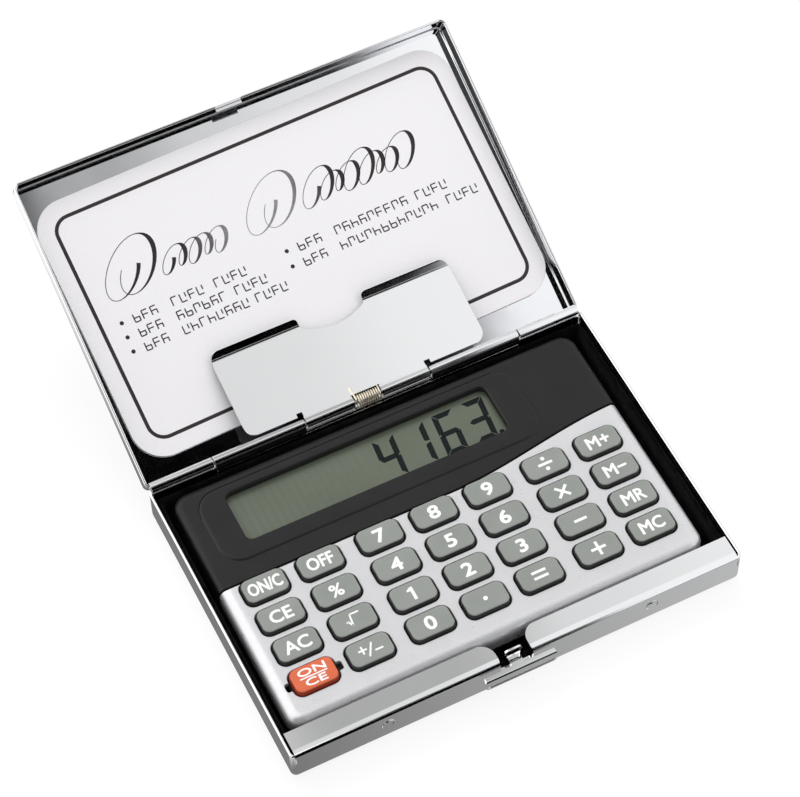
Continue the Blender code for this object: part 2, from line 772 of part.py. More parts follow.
def make_electronics():
    left, right = BOARD_X
    front, back = BOARD_Y
    step_x, step_y = BOARD_STEP
    board = [(left, front), (right, front), (right, step_y), (step_x, step_y), (step_x, back), (left, back)]
    plate("circuit_board", board, *BOARD_Z, "board")
    membrane = rounded_rect(left - 0.4, MEMBRANE_Y[0], right + 0.4, MEMBRANE_Y[1], 1.0)
    plate("key_membrane", membrane, *MEMBRANE_Z, "rubber")
    rings = [[(a, b, z) for a, b in circle(radius, 16, *CHIP_PLACE)] for radius, z in CHIP_PROFILE]
    loft("chip_cover", rings, "epoxy")
    plate("lcd_panel", rounded_rect(LCD_X[0], LCD_Y[0], LCD_X[1], LCD_Y[1], 0.4, 1), *LCD_Z, "lcd")
    film = rounded_rect(LCD_X[0] + 1.0, REFLECTOR_Y[0], LCD_X[1] - 1.0, REFLECTOR_Y[1], 0.4, 1)
    plate("lcd_reflector", film, *REFLECTOR_Z, "lcd")
    box("zebra_strip", ZEBRA_X[0], ZEBRA_Y[0], ZEBRA_Z[0], ZEBRA_X[1], ZEBRA_Y[1], ZEBRA_Z[1], "rubber")
    x, y = BATTERY
    plate("button_cell", circle(BATTERY_R, 24, x, y), *CELL_Z, "steel")
    box("cell_contact_minus", x - 6.6, y - 1.6, CONTACT_Z[0], x + 5.0, y + 1.6, CONTACT_Z[1], "steel")
    box("cell_contact_plus", x - 3.0, y - 1.8, CLIP_Z[0], x + 6.4, y + 1.8, CLIP_Z[1], "steel")


def make_module_fixings():
    for i, (x, y) in enumerate(screw_places()):
        rings = [[(a, b, z) for a, b in circle(radius, 12, x, y)] for radius, z in SCREW_PROFILE]
        loft(f"case_screw_{i + 1}", rings, "steel")
    pad = rounded_rect(PAD_X[0], PAD_Y[0], PAD_X[1], PAD_Y[1], 1.0, 2)
    plate("adhesive_pad", pad, *PAD_Z, "foam")


def build():
    clear_scene()
    make_materials()
    make_base_shell()
    make_base_liner()
    lid_leaf = make_hinge()
    lid_shell = make_lid_shell()
    card = make_card()
    retainer = make_retainer()
    spring = make_spring()
    lid_pivot = pivot("lid_pivot", 180 - OPEN_DEG)
    hang_on(lid_pivot, [*lid_leaf, *lid_shell, card, spring], True)
    hang_on(pivot("retainer_pivot", -RETAINER_SLOPE_DEG, lid_pivot), retainer, False)
    make_latch()
    make_upper_housing()
    make_keypad_plate()
    make_keys()
    make_rear_cover()
    make_electronics()
    make_module_fixings()


build()
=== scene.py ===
"""The looks of the card-case calculator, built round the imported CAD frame.

Shapes are drawn in millimetres: case and module pieces in the row frame, lid pieces about the hinge
axis with the lid flat open (x, v away from the hinge, w up out of the lid) and then turned into place.
"""

import json
import math

import bmesh
import bpy
from mathutils import Matrix, Vector, noise


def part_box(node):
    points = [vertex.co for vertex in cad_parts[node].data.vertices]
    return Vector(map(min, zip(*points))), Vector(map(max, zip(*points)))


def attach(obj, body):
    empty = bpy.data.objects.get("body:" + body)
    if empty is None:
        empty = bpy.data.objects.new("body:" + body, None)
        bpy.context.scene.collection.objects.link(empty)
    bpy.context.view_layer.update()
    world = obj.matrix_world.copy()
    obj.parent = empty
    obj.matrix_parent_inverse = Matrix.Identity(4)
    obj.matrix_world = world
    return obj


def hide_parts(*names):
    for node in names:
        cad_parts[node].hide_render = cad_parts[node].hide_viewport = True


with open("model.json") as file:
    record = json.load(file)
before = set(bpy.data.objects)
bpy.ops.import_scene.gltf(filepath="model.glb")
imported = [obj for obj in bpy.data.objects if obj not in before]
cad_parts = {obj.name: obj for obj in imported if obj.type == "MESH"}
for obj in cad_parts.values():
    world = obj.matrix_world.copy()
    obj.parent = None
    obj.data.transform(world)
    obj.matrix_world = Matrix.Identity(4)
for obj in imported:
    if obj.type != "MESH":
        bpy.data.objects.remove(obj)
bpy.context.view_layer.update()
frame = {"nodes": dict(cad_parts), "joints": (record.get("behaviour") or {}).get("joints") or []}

MM = 0.001
IDENTITY = Matrix.Identity(4)


def box_mm(node):
    low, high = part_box(node)
    return [v / MM for v in low], [v / MM for v in high]


# ---------------------------------------------------------------- sizes

HINGE = next(joint for joint in frame["joints"] if joint["name"] == "lid_hinge")
HINGE_Y = HINGE["pos_m"][1] / MM
HINGE_Z = HINGE["pos_m"][2] / MM
LID_ANGLE = math.radians(180 - HINGE["range_deg"][1])
LID_PLACE = Matrix.Translation(HINGE["pos_m"]) @ Matrix.Rotation(LID_ANGLE, 4, "X")
FLAP_PLACE = LID_PLACE @ Matrix.Rotation(math.radians(-10.0), 4, "X")

# Case. The base shell's box takes in the studs, so the front wall lies one stud's height inside it
STUD_RISE = 0.35
STUD_X = 27.0
STUD_Z = 4.9
CASE_LOW, CASE_HIGH = box_mm("base_shell")
CASE_X = CASE_HIGH[0]
FRONT = CASE_LOW[1] + STUD_RISE
BACK = CASE_HIGH[1]
RIM = CASE_HIGH[2]
SHEET = 0.5
CASE_CORNER = 1.2
EDGE_ROLL = 1.4
INNER_BEND = 0.35
RIM_ROUND = 0.24
FLANGE_BEND = 0.9
FLANGE_SLOPE = math.radians(12)
FLANGE_STRIP = 0.8
FLANGE_DEPTH = 4.8
FLANGE_SPLIT = 6.4
FLANGE_ROUND = 3.0
FLANGE_FOOT = 5.2
LATCH_X = -0.9
LATCH_NOTCH = 6.6
LATCH_NOTCH_Z = 5.6
LINER_NOTCH = 4.2
LINER_NOTCH_Z = 5.3
LINER_NOTCH_TOP = 8

# Latch: a button outside the wall, a neck through it and a wire hook behind it
LATCH_TOP = 7.0
LATCH_SHEET = 0.4
LATCH_BEND = 0.5
LATCH_END_ROUND = 1.3
LATCH_PLAN_ROUND = 0.7
PANEL_SIDE = 0.45
PANEL_FOOT = 0.4
PANEL_ROUND = 0.8
PANEL_DEPTH = 0.12
NECK_HALF = 1.2
NECK_SHEET = 0.4
HOOK_HALF = 1.55
HOOK_WIRE = 0.42
HOOK_BACK = 1.72
HOOK_SHOULDER = 7.8
HOOK_ROUND = 0.45

# Hinge
LEAF = 0.35
LEAF_OFFSET = 0.95
CURL_R = 0.84
PIN_R = 0.4
KNUCKLE_GAP = 0.15
FLAP_KNUCKLE = (2.75, 13.2)
BASE_KNUCKLE = (13.2, 32.4)
LID_KNUCKLE = (32.4, 45.3)
HINGE_CUT = 1.25

# Lid
LID_D = 63.8
LID_RIM = -0.15
LID_DEPTH = 4.6
LID_FLOOR = LID_RIM - LID_DEPTH + SHEET

# Card
CARD_W = 89.0
CARD_H = 54.0
CARD_T = 0.35
CARD_CORNER = 6.5
CARD_TILT = math.radians(1.4)
CARD_CENTRE = 32.6
CARD_LIFT = 0.3
INK = 0.02

# Flap that holds the card
FLAP_W = 50.8
FLAP_ROOT = 1.35
SPRING_SLOT = 1.35
FLAP_TIP = 18.0
FLAP_SHIFT = 0.9
FLAP_TOP = 0.8
FLAP_T = 0.35
FLAP_CORNER = 2.4
FLAP_NOTCH = 6.8
FLAP_NOTCH_DEPTH = 2.2
LIP_ENDS = (6.7, 25.2)
LIP_R = 3.0
LIP_SWEEP = 48
LIP_OUTER_CORNER = 2.0
LIP_INNER_CORNER = 0.9
SPRING_COIL_R = 1.2
SPRING_WIRE_R = 0.16
SPRING_TURNS = 10

# Module
PLATE_LOW, PLATE_HIGH = box_mm("keypad_plate")
HOUSING_LOW, HOUSING_HIGH = box_mm("upper_housing")
MOD_TOP = PLATE_HIGH[2]
MOD_FOOT = PLATE_LOW[2]
MOD_BOX = (PLATE_LOW[0], PLATE_LOW[1], PLATE_HIGH[0], HOUSING_HIGH[1])
MOD_CORNER = 3.2
MOD_WALL = 1.2
PART_LINE_Y = 5.7
PART_LINE_RISE = 3.9
PART_LINE_X = (5.0, 42.0)
BEZEL = (-39.4, 9.6, 27.4, 26.3)
BEZEL_TOP = HOUSING_HIGH[2]
BEZEL_CORNER = 4.6
WINDOW_CORNER = 1.4
BOSS_INSET = 2.9
WINDOW = (-33.6, 13.2, 21.1, 24.3)
LCD_LOW, LCD_HIGH = box_mm("lcd_panel")
TRACK_PITCH = 1.58

# Keys
KEY_W = 8.7
KEY_H = 5.3
KEY_CORNER = 1.5
KEY_GAP = 0.3
KEY_SKIRT = 0.35
EAR_W = 11.4
EAR_H = 1.9
KEY_ROWS = (
    ("on_c", "off", "7", "8", "9", "divide", "m_plus"),
    ("ce", "percent", "4", "5", "6", "multiply", "m_minus"),
    ("ac", "root", "1", "2", "3", "minus", "mr"),
    ("reset", "sign", "0", "point", "equals", "plus", "mc"),
)
WORDS = {
    "on_c": ("ON/C", 0.72),
    "off": ("OFF", 0.84),
    "ce": ("CE", 1.05),
    "ac": ("AC", 1.05),
    "percent": ("%", 1.05),
    "m_plus": ("M+", 1.0),
    "m_minus": ("M−", 1.0),
    "mr": ("MR", 0.95),
    "mc": ("MC", 0.95),
}


# ---------------------------------------------------------------- materials


def nodes_of(name, colour, roughness, metallic=0.0, **extra):
    """A new material and its Principled shader."""
    material = bpy.data.materials.new(name)
    material.use_nodes = True
    tree = material.node_tree
    shader = tree.nodes["Principled BSDF"]
    shader.inputs["Base Color"].default_value = (*colour, 1.0)
    shader.inputs["Roughness"].default_value = roughness
    shader.inputs["Metallic"].default_value = metallic
    for key, value in extra.items():
        shader.inputs[key.replace("_", " ")].default_value = value
    return material, tree, shader


def feed(tree, node, inputs):
    """Sets a node's inputs: a socket is linked, and a number or colour is written."""
    for key, value in inputs.items():
        socket = node.inputs[key]
        if isinstance(value, bpy.types.NodeSocket):
            tree.links.new(value, socket)
        elif socket.type == "RGBA":
            socket.default_value = (*value, 1.0)
        else:
            socket.default_value = value


def add(tree, kind, inputs=None):
    node = tree.nodes.new("ShaderNode" + kind)
    feed(tree, node, inputs or {})
    return node


def split_xyz(tree, vector):
    """The outputs X, Y and Z of a vector."""
    return add(tree, "SeparateXYZ", {"Vector": vector}).outputs


def position(tree, stretch=(1.0, 1.0, 1.0)):
    coords = add(tree, "TexCoord").outputs["Object"]
    return add(tree, "Mapping", {"Scale": stretch, "Vector": coords}).outputs["Vector"]


def grain(tree, size_mm, detail=3.0, stretch=(1.0, 1.0, 1.0)):
    """Noise whose features are about size_mm across."""
    inputs = {"Scale": 1.0 / (size_mm * MM), "Detail": detail, "Vector": position(tree, stretch)}
    return add(tree, "TexNoise", inputs).outputs["Fac"]


def spread(tree, value, low, high, out_low, out_high, smooth=False):
    """Maps a value from one range to another, clamped."""
    node = add(tree, "MapRange")
    node.interpolation_type = "SMOOTHSTEP" if smooth else "LINEAR"
    ranges = {"From Min": low, "From Max": high, "To Min": out_low, "To Max": out_high}
    feed(tree, node, {**ranges, "Value": value})
    return node.outputs["Result"]


def maths(tree, operation, a, b):
    node = add(tree, "Math", {0: a, 1: b})
    node.operation = operation
    return node.outputs["Value"]


def blend_colours(tree, factor, first, second):
    node = add(tree, "Mix")
    node.data_type = "RGBA"
    feed(tree, node, {"Factor": factor, 6: first, 7: second})
    return node.outputs[2]


def blend_values(tree, factor, first, second):
    node = add(tree, "Mix")
    node.data_type = "FLOAT"
    feed(tree, node, {0: factor, 2: first, 3: second})
    return node.outputs[0]


def mix_shaders(tree, factor, first, second):
    """The first shader where the factor is 0 and the second where it is 1."""
    return add(tree, "MixShader", {"Fac": factor, 1: first.outputs[0], 2: second.outputs[0]})


def relief(tree, shader, height, depth_mm, after=None):
    """Bump of the given depth, on top of an earlier bump if there is one."""
    node = add(tree, "Bump", {"Distance": depth_mm * MM, "Height": height})
    if after:
        feed(tree, node, {"Normal": after})
    feed(tree, shader, {"Normal": node.outputs["Normal"]})
    return node.outputs["Normal"]


def chrome_material(name="chrome", wave_mm=0.012):
    """Polished plate: faint ripples of pressed sheet, hairline scuffs and finger haze."""
    material, tree, shader = nodes_of(name, (0.93, 0.935, 0.945), 0.05, 1.0)
    haze = grain(tree, 9.0, 2.0)
    feed(tree, shader, {"Roughness": spread(tree, haze, 0.35, 0.75, 0.035, 0.085)})
    ripple = relief(tree, shader, grain(tree, 26.0, 0.0), wave_mm)
    relief(tree, shader, grain(tree, 0.5, 2.0, (0.06, 1.0, 1.0)), 0.00004, ripple)
    return material


def velvet_material():
    """Black pile: near-black fibres with a thin sheen and uneven nap."""
    material, tree, shader = nodes_of("velvet", (0.003, 0.0027, 0.0025), 1.0)
    feed(tree, shader, {"Specular IOR Level": 0.05, "Sheen Weight": 0.05, "Sheen Roughness": 0.4})
    nap = spread(tree, grain(tree, 2.5, 3.0), 0.35, 0.7, 0.0, 1.0)
    pile = blend_colours(tree, nap, (0.0012, 0.0011, 0.001), (0.006, 0.0052, 0.0048))
    feed(tree, shader, {"Base Color": pile})
    relief(tree, shader, grain(tree, 0.12, 3.0), 0.06)
    return material


def plastic_material(name, dark, light, roughness, grain_mm, depth_mm, **extra):
    """Moulded plastic with a fine spark-eroded grain and slight colour drift."""
    material, tree, shader = nodes_of(name, dark, roughness, **extra)
    drift = spread(tree, grain(tree, 6.0, 2.0), 0.3, 0.7, 0.0, 1.0)
    wear = spread(tree, grain(tree, 1.6, 3.0), 0.3, 0.7, roughness - 0.05, roughness + 0.06)
    feed(tree, shader, {"Base Color": blend_colours(tree, drift, dark, light), "Roughness": wear})
    relief(tree, shader, grain(tree, grain_mm, 2.0), depth_mm)
    return material


def silver_material():
    """Silver paint over plastic: small flakes that catch the light."""
    material, tree, shader = nodes_of("silver_plastic", (0.7, 0.7, 0.72), 0.3, 0.6)
    flakes = spread(tree, grain(tree, 0.16, 1.0), 0.3, 0.72, 0.0, 1.0)
    colour = blend_colours(tree, flakes, (0.66, 0.66, 0.675), (0.78, 0.78, 0.795))
    wear = spread(tree, grain(tree, 3.0, 2.0), 0.3, 0.7, 0.27, 0.34)
    feed(tree, shader, {"Base Color": colour, "Roughness": wear})
    relief(tree, shader, grain(tree, 0.22, 2.0), 0.0035)
    return material


def lcd_material():
    """Grey-green polariser with the faint columns of the electrode tracks."""
    material, tree, shader = nodes_of("lcd_glass", (0.1, 0.12, 0.085), 0.28)
    x = split_xyz(tree, position(tree))["X"]
    columns = maths(tree, "SINE", maths(tree, "MULTIPLY", x, 2 * math.pi / (TRACK_PITCH * MM)), 0.0)
    fade = spread(tree, x, -0.03, 0.004, 0.26, 0.04)
    amount = maths(tree, "MULTIPLY", spread(tree, columns, -0.3, 0.6, 0.0, 1.0, True), fade)
    mottling = spread(tree, grain(tree, 8.0), 0.3, 0.7, 0.0, 1.0)
    mottled = blend_colours(tree, mottling, (0.098, 0.117, 0.082), (0.112, 0.131, 0.095))
    feed(tree, shader, {"Base Color": blend_colours(tree, amount, mottled, (0.078, 0.097, 0.066))})
    relief(tree, shader, grain(tree, 0.08, 1.0), 0.0006)
    return material


def card_material():
    """Smooth white card with a faint fibre."""
    material, tree, shader = nodes_of("card", (0.84, 0.84, 0.86), 0.42)
    fibre = spread(tree, grain(tree, 0.35, 4.0), 0.3, 0.7, 0.0, 1.0)
    colour = blend_colours(tree, fibre, (0.8, 0.785, 0.81), (0.84, 0.825, 0.845))
    feed(tree, shader, {"Base Color": colour})
    relief(tree, shader, grain(tree, 0.25, 3.0), 0.002)
    return material


def foil_material():
    """Foil-blocked print with a painted reflection: near-black, with an uneven grey band across the card's
    middle.
    """
    material, tree, shader = nodes_of("foil_ink", (0.03, 0.02, 0.02), 0.3)
    x = split_xyz(tree, position(tree))["X"]
    middle = maths(tree, "ABSOLUTE", maths(tree, "ADD", x, 0.004), 0.0)
    # Painted reflection: the print turns grey in a band about the card's middle, whatever the light.
    bright = spread(tree, middle, 0.004, 0.017, 1.0, 0.0, True)
    uneven = maths(tree, "MULTIPLY", bright, spread(tree, grain(tree, 2.0), 0.3, 0.7, 0.5, 1.0))
    feed(tree, shader, {"Base Color": blend_colours(tree, uneven, (0.018, 0.011, 0.012), (0.3, 0.29, 0.3))})
    return material


def metal_material(name, colour, roughness, size_mm=0.6):
    """Plain worked metal with drawing marks."""
    material, tree, shader = nodes_of(name, colour, roughness, 1.0)
    marks = grain(tree, size_mm, 3.0, (0.1, 1.0, 1.0))
    feed(tree, shader, {"Roughness": spread(tree, marks, 0.3, 0.7, roughness - 0.06, roughness + 0.1)})
    relief(tree, shader, marks, 0.002)
    return material


def board_material():
    """Green solder mask over copper tracks."""
    material, tree, shader = nodes_of("board", (0.03, 0.14, 0.05), 0.35)
    brick = add(tree, "TexBrick", {"Scale": 260.0, "Mortar Size": 0.06, "Vector": position(tree)})
    tracks = blend_colours(tree, brick.outputs["Fac"], (0.03, 0.14, 0.05), (0.06, 0.22, 0.08))
    feed(tree, shader, {"Base Color": tracks})
    relief(tree, shader, brick.outputs["Fac"], 0.02)
    return material


CHROME = chrome_material()
CHROME_FLAP = chrome_material("chrome_flap", 0.006)
VELVET = velvet_material()
HOUSING_TONES = ((0.009, 0.008, 0.0088), (0.0115, 0.0105, 0.0112))
BLACK = plastic_material("black_plastic", *HOUSING_TONES, 0.37, 0.18, 0.005, Specular_IOR_Level=0.32)
SILVER = silver_material()
KEY_GREY = plastic_material("key_grey", (0.235, 0.25, 0.232), (0.262, 0.276, 0.258), 0.44, 0.2, 0.004)
# Darker copies of the grey and red key plastics for the caps' steep sides: painted shade, as those sides fall
# in shadow.
KEY_SIDE_PAINTED_SHADE = plastic_material("key_side_painted_shade", (0.028, 0.03, 0.028), (0.036, 0.038, 0.036), 0.5, 0.2, 0.004)
KEY_RED_SIDE_PAINTED_SHADE = plastic_material("key_red_side_painted_shade", (0.3, 0.035, 0.012), (0.34, 0.04, 0.015), 0.5, 0.2, 0.004)
KEY_RED = plastic_material("key_red", (0.62, 0.11, 0.035), (0.66, 0.13, 0.045), 0.4, 0.2, 0.004)
LEGEND = plastic_material("legend_ink", (0.84, 0.84, 0.84), (0.88, 0.88, 0.88), 0.45, 0.1, 0.001)
LCD = lcd_material()
SEGMENT_TONES = ((0.005, 0.008, 0.009), (0.007, 0.01, 0.011))
SEGMENT = plastic_material("lcd_segment", *SEGMENT_TONES, 0.5, 0.3, 0.0005, Specular_IOR_Level=0.15)
CARD = card_material()
INK_BROWN = plastic_material("card_ink", (0.018, 0.011, 0.012), (0.024, 0.015, 0.016), 0.4, 0.3, 0.001)
INK_GREY = plastic_material("text_ink", (0.025, 0.02, 0.022), (0.04, 0.035, 0.038), 0.5, 0.3, 0.001)
FOIL = foil_material()
STEEL = metal_material("steel", (0.6, 0.58, 0.53), 0.28)
SPRING = metal_material("spring_wire", (0.95, 0.87, 0.7), 0.26)
# Dark metal for the flap's underside: painted shade beneath the flap.
UNDERSIDE_PAINTED_SHADE = metal_material("chrome_underside_painted_shade", (0.2, 0.2, 0.21), 0.3)
BOARD = board_material()
RUBBER = plastic_material("membrane_rubber", (0.2, 0.2, 0.2), (0.24, 0.24, 0.24), 0.8, 0.4, 0.01)
FOAM = plastic_material("foam_tape", (0.75, 0.75, 0.7), (0.82, 0.82, 0.78), 0.9, 0.3, 0.08)
# Near-black for the display window's side walls and the keys' skirts: painted shade in the recess and in the
# gaps round the keys.
PAINTED_SHADE_BLACK = plastic_material("painted_shade_black", (0.008, 0.008, 0.008), (0.012, 0.012, 0.012), 0.7, 0.3, 0.01)
EPOXY = plastic_material("epoxy", (0.012, 0.012, 0.012), (0.018, 0.018, 0.018), 0.22, 1.0, 0.02)
REFLECTOR = metal_material("reflector_film", (0.75, 0.76, 0.74), 0.35)


# ---------------------------------------------------------------- shape helpers


def arc(cx, cy, radius, start_deg, end_deg, steps):
    points = []
    for i in range(steps + 1):
        angle = math.radians(start_deg + (end_deg - start_deg) * i / steps)
        points.append((cx + radius * math.cos(angle), cy + radius * math.sin(angle)))
    return points


def rounded_rect(x0, y0, x1, y1, radius, steps=8):
    """Counter-clockwise outline; each corner has steps + 1 points."""
    points = arc(x1 - radius, y1 - radius, radius, 0, 90, steps)
    points += arc(x0 + radius, y1 - radius, radius, 90, 180, steps)
    points += arc(x0 + radius, y0 + radius, radius, 180, 270, steps)
    points += arc(x1 - radius, y0 + radius, radius, 270, 360, steps)
    return points


def circle(radius, count, cx=0.0, cy=0.0):
    return arc(cx, cy, radius, 0, 360 - 360 / count, count - 1)


def solid(name, verts, faces, material=None, place=IDENTITY):
    """A mesh object from points in millimetres; its faces are turned outwards."""
    mesh = bpy.data.meshes.new(name)
    mesh.from_pydata([Vector(v) * MM for v in verts], [], faces)
    work = bmesh.new()
    work.from_mesh(mesh)
    bmesh.ops.recalc_face_normals(work, faces=work.faces)
    work.to_mesh(mesh)
    work.free()
    mesh.shade_smooth()
    if material:
        mesh.materials.append(material)
    obj = bpy.data.objects.new(name, mesh)
    bpy.context.scene.collection.objects.link(obj)
    obj.matrix_world = place
    return obj


def loft(name, rings, material=None, place=IDENTITY):
    """A closed solid through rings of equal point counts, capped at both ends."""
    count = len(rings[0])
    verts = [point for ring in rings for point in ring]
    faces = [tuple(range(count)), tuple(range(len(verts) - count, len(verts)))]
    for r in range(len(rings) - 1):
        for i in range(count):
            j = (i + 1) % count
            a = r * count
            faces.append((a + i, a + j, a + count + j, a + count + i))
    return solid(name, verts, faces, material, place)


def plate(name, outline, z0, z1, material=None, place=IDENTITY):
    return loft(name, [[(x, y, z) for x, y in outline] for z in (z0, z1)], material, place)


def bar(name, profile, x0, x1, material=None, place=IDENTITY):
    """A closed (y, z) profile drawn out along x."""
    return loft(name, [[(x, y, z) for y, z in profile] for x in (x0, x1)], material, place)


def block(name, low, high, place=IDENTITY):
    outline = [(low[0], low[1]), (high[0], low[1]), (high[0], high[1]), (low[0], high[1])]
    return plate(name, outline, low[2], high[2], None, place)


def tray(name, box, corner, profile, material=None, place=IDENTITY, steps=8):
    """A shell from (inset, z) rings of one rounded rectangle."""
    x0, y0, x1, y1 = box
    rings = []
    for inset, z in profile:
        radius = max(corner - inset, 0.25)
        outline = rounded_rect(x0 + inset, y0 + inset, x1 - inset, y1 - inset, radius, steps)
        rings.append([(x, y, z) for x, y in outline])
    return loft(name, rings, material, place)


def thickened(path, thickness):
    """A closed profile round an open path of 2-D points."""
    left = []
    right = []
    for i, (x, y) in enumerate(path):
        before = path[max(i - 1, 0)]
        after = path[min(i + 1, len(path) - 1)]
        dx, dy = after[0] - before[0], after[1] - before[1]
        length = math.hypot(dx, dy)
        nx, ny = -dy / length * thickness / 2, dx / length * thickness / 2
        left.append((x + nx, y + ny))
        right.append((x - nx, y - ny))
    return left + right[::-1]


def bake(obj):
    """Applies the modifiers."""
    graph = bpy.context.evaluated_depsgraph_get()
    mesh = bpy.data.meshes.new_from_object(obj.evaluated_get(graph))
    obj.modifiers.clear()
    obj.data = mesh


def boolean(obj, operation, others):
    for other in others:
        modifier = obj.modifiers.new(operation.lower(), "BOOLEAN")
        modifier.operation = operation
        modifier.object = other
    bake(obj)
    for other in others:
        bpy.data.objects.remove(other, do_unlink=True)
    return obj


def joined(name, objects, place=IDENTITY):
    """One object from several, which keep their materials. Points come out in the first object's place."""
    mesh = bpy.data.meshes.new(name)
    work = bmesh.new()
    materials = []
    for obj in objects:
        start = len(work.faces)
        first_vert = len(work.verts)
        work.from_mesh(obj.data)
        work.faces.ensure_lookup_table()
        work.verts.ensure_lookup_table()
        bmesh.ops.transform(work, matrix=obj.matrix_basis, verts=work.verts[first_vert:])
        own = list(obj.data.materials)
        for face in work.faces[start:]:
            if own:
                used = own[min(face.material_index, len(own) - 1)]
                if used not in materials:
                    materials.append(used)
                face.material_index = materials.index(used)
        bpy.data.objects.remove(obj, do_unlink=True)
    work.to_mesh(mesh)
    work.free()
    for material in materials:
        mesh.materials.append(material)
    result = bpy.data.objects.new(name, mesh)
    bpy.context.scene.collection.objects.link(result)
    result.matrix_world = place
    return result


def dress(obj, material, edge_mm=0.0, sharp_deg=35):
    """Sets the material, a small edge rounding and shading that keeps flat faces flat."""
    obj.data.materials.clear()
    obj.data.materials.append(material)
    for face in obj.data.polygons:
        face.material_index = 0
    smooth(obj, edge_mm, sharp_deg)
    return obj


def smooth(obj, edge_mm=0.0, sharp_deg=35):
    obj.data.shade_smooth()
    if edge_mm:
        bevel = obj.modifiers.new("edge", "BEVEL")
        bevel.width = edge_mm * MM
        bevel.segments = 2
        bevel.limit_method = "ANGLE"
        bevel.angle_limit = math.radians(sharp_deg)
    else:
        obj.data.set_sharp_from_angle(angle=math.radians(sharp_deg))
    normals = obj.modifiers.new("normals", "WEIGHTED_NORMAL")
    normals.keep_sharp = True
    return obj


def mount(obj, body, slot, *nodes):
    """Hands a finished piece to the frame."""
    bpy.context.view_layer.update()
    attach(obj, body)
    if nodes:
        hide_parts(*nodes)


# ---------------------------------------------------------------- case


def pressed_profile(floor, rim):
    """(inset, z) rings of pressed sheet: outer bend, rounded rim, inner bend."""
    outer = arc(EDGE_ROLL, floor + EDGE_ROLL, EDGE_ROLL, 270, 180, 8)
    lip = arc(RIM_ROUND, rim - RIM_ROUND, RIM_ROUND, 180, 90, 3)
    lip += arc(SHEET - RIM_ROUND, rim - RIM_ROUND, RIM_ROUND, 90, 0, 3)
    inner = arc(SHEET + INNER_BEND, floor + SHEET + INNER_BEND, INNER_BEND, 180, 270, 6)
    return outer + lip + inner


def bend_line():
    """The outside of the front lip, from the wall up: a tight bend, a narrow bevel strip, then the flat."""
    foot_z = RIM - FLANGE_STRIP * math.sin(FLANGE_SLOPE) - FLANGE_BEND * math.cos(FLANGE_SLOPE)
    end_deg = 90 + math.degrees(FLANGE_SLOPE)
    points = arc(FRONT + FLANGE_BEND, foot_z, FLANGE_BEND, 180, end_deg, 8)
    y, z = points[-1]
    for share in (0.08, 0.92, 1.0):
        length = FLANGE_STRIP * share
        points.append((y + length * math.cos(FLANGE_SLOPE), z + length * math.sin(FLANGE_SLOPE)))
    points.append((points[-1][0] + 0.1, RIM))
    return points


def front_flange(side):
    """Half of the front lip: the wall turned inwards, its split end rounded in plan."""
    gap = side * (FLANGE_SPLIT / 2) + LATCH_X
    end = side * (CASE_X - 0.9)
    tip = FRONT + SHEET + FLANGE_DEPTH
    lip = arc(tip - RIM_ROUND, RIM - RIM_ROUND, RIM_ROUND, 90, 0, 3)
    lip += arc(tip - RIM_ROUND, RIM - SHEET + RIM_ROUND, RIM_ROUND, 0, -90, 3)
    ceiling = RIM - SHEET
    under = [(FRONT + 1.6, ceiling), (FRONT + 0.7, ceiling - 0.16), (FRONT + SHEET, ceiling - 0.45)]
    profile = [(FRONT, FLANGE_FOOT)] + bend_line() + lip + under + [(FRONT + SHEET, FLANGE_FOOT)]
    sheet = bar("flange", profile, min(gap, end), max(gap, end))
    reach = abs(end) + 2
    start = abs(gap)
    outline = [(start, FRONT - 2), (reach, FRONT - 2), (reach, tip + 1), (start + FLANGE_ROUND, tip + 1)]
    outline += arc(start + FLANGE_ROUND, tip - FLANGE_ROUND, FLANGE_ROUND, 90, 180, 12)
    plan = plate("plan", [(side * x, y) for x, y in outline], 0, 20)
    return boolean(sheet, "INTERSECT", [plan])


def stud(x):
    """A domed rivet head on the front wall, inside a thin raised ring."""
    rings = []
    steps = ((1.3, -0.3), (1.3, 0.02), (1.24, 0.05), (1.12, 0.01), (1.04, 0.08))
    for radius, rise in steps + ((0.92, 0.19), (0.7, 0.29), (0.4, 0.34), (0.12, STUD_RISE)):
        rings.append([(a, FRONT - rise, b) for a, b in circle(radius, 28, x, STUD_Z)])
    return loft("stud", rings)


def make_case_base():
    half = CASE_X
    shell = tray("case_base", (-half, FRONT, half, BACK), CASE_CORNER, pressed_profile(0.0, RIM))
    wall_half = half - CASE_CORNER
    line = bend_line()
    outside = [(FRONT - 1, line[0][1])] + line + [(line[-1][0], RIM + 1), (FRONT - 1, RIM + 1)]
    cuts = [
        block("front_cut", (-wall_half, FRONT - 1, LATCH_NOTCH_Z), (wall_half, FRONT + 1.4, RIM + 1)),
        block("hinge_cut", (-45.6, HINGE_Y - 1.3, RIM - HINGE_CUT), (45.6, HINGE_Y + 2, RIM + 2)),
        bar("corner_bend", outside, -half - 1, half + 1),
    ]
    added = [front_flange(-1), front_flange(1)]
    boolean(shell, "DIFFERENCE", cuts)
    boolean(shell, "UNION", added)
    notch_low = (LATCH_X - LATCH_NOTCH / 2, FRONT - 1, LATCH_NOTCH_Z)
    notch_high = (LATCH_X + LATCH_NOTCH / 2, FRONT + 0.9, RIM + 1)
    boolean(shell, "DIFFERENCE", [block("latch_notch", notch_low, notch_high)])
    shell = joined("case_base", [shell, stud(-STUD_X), stud(STUD_X)])
    dress(shell, CHROME, 0.06)
    mount(shell, "base", "chrome", "base_shell")


def even_outline(points, spacing):
    """The closed outline with its long sides divided."""
    result = []
    for i, (x, y) in enumerate(points):
        nx, ny = points[(i + 1) % len(points)]
        parts = max(1, round(math.hypot(nx - x, ny - y) / spacing))
        for k in range(parts):
            result.append((x + (nx - x) * k / parts, y + (ny - y) * k / parts))
    return result


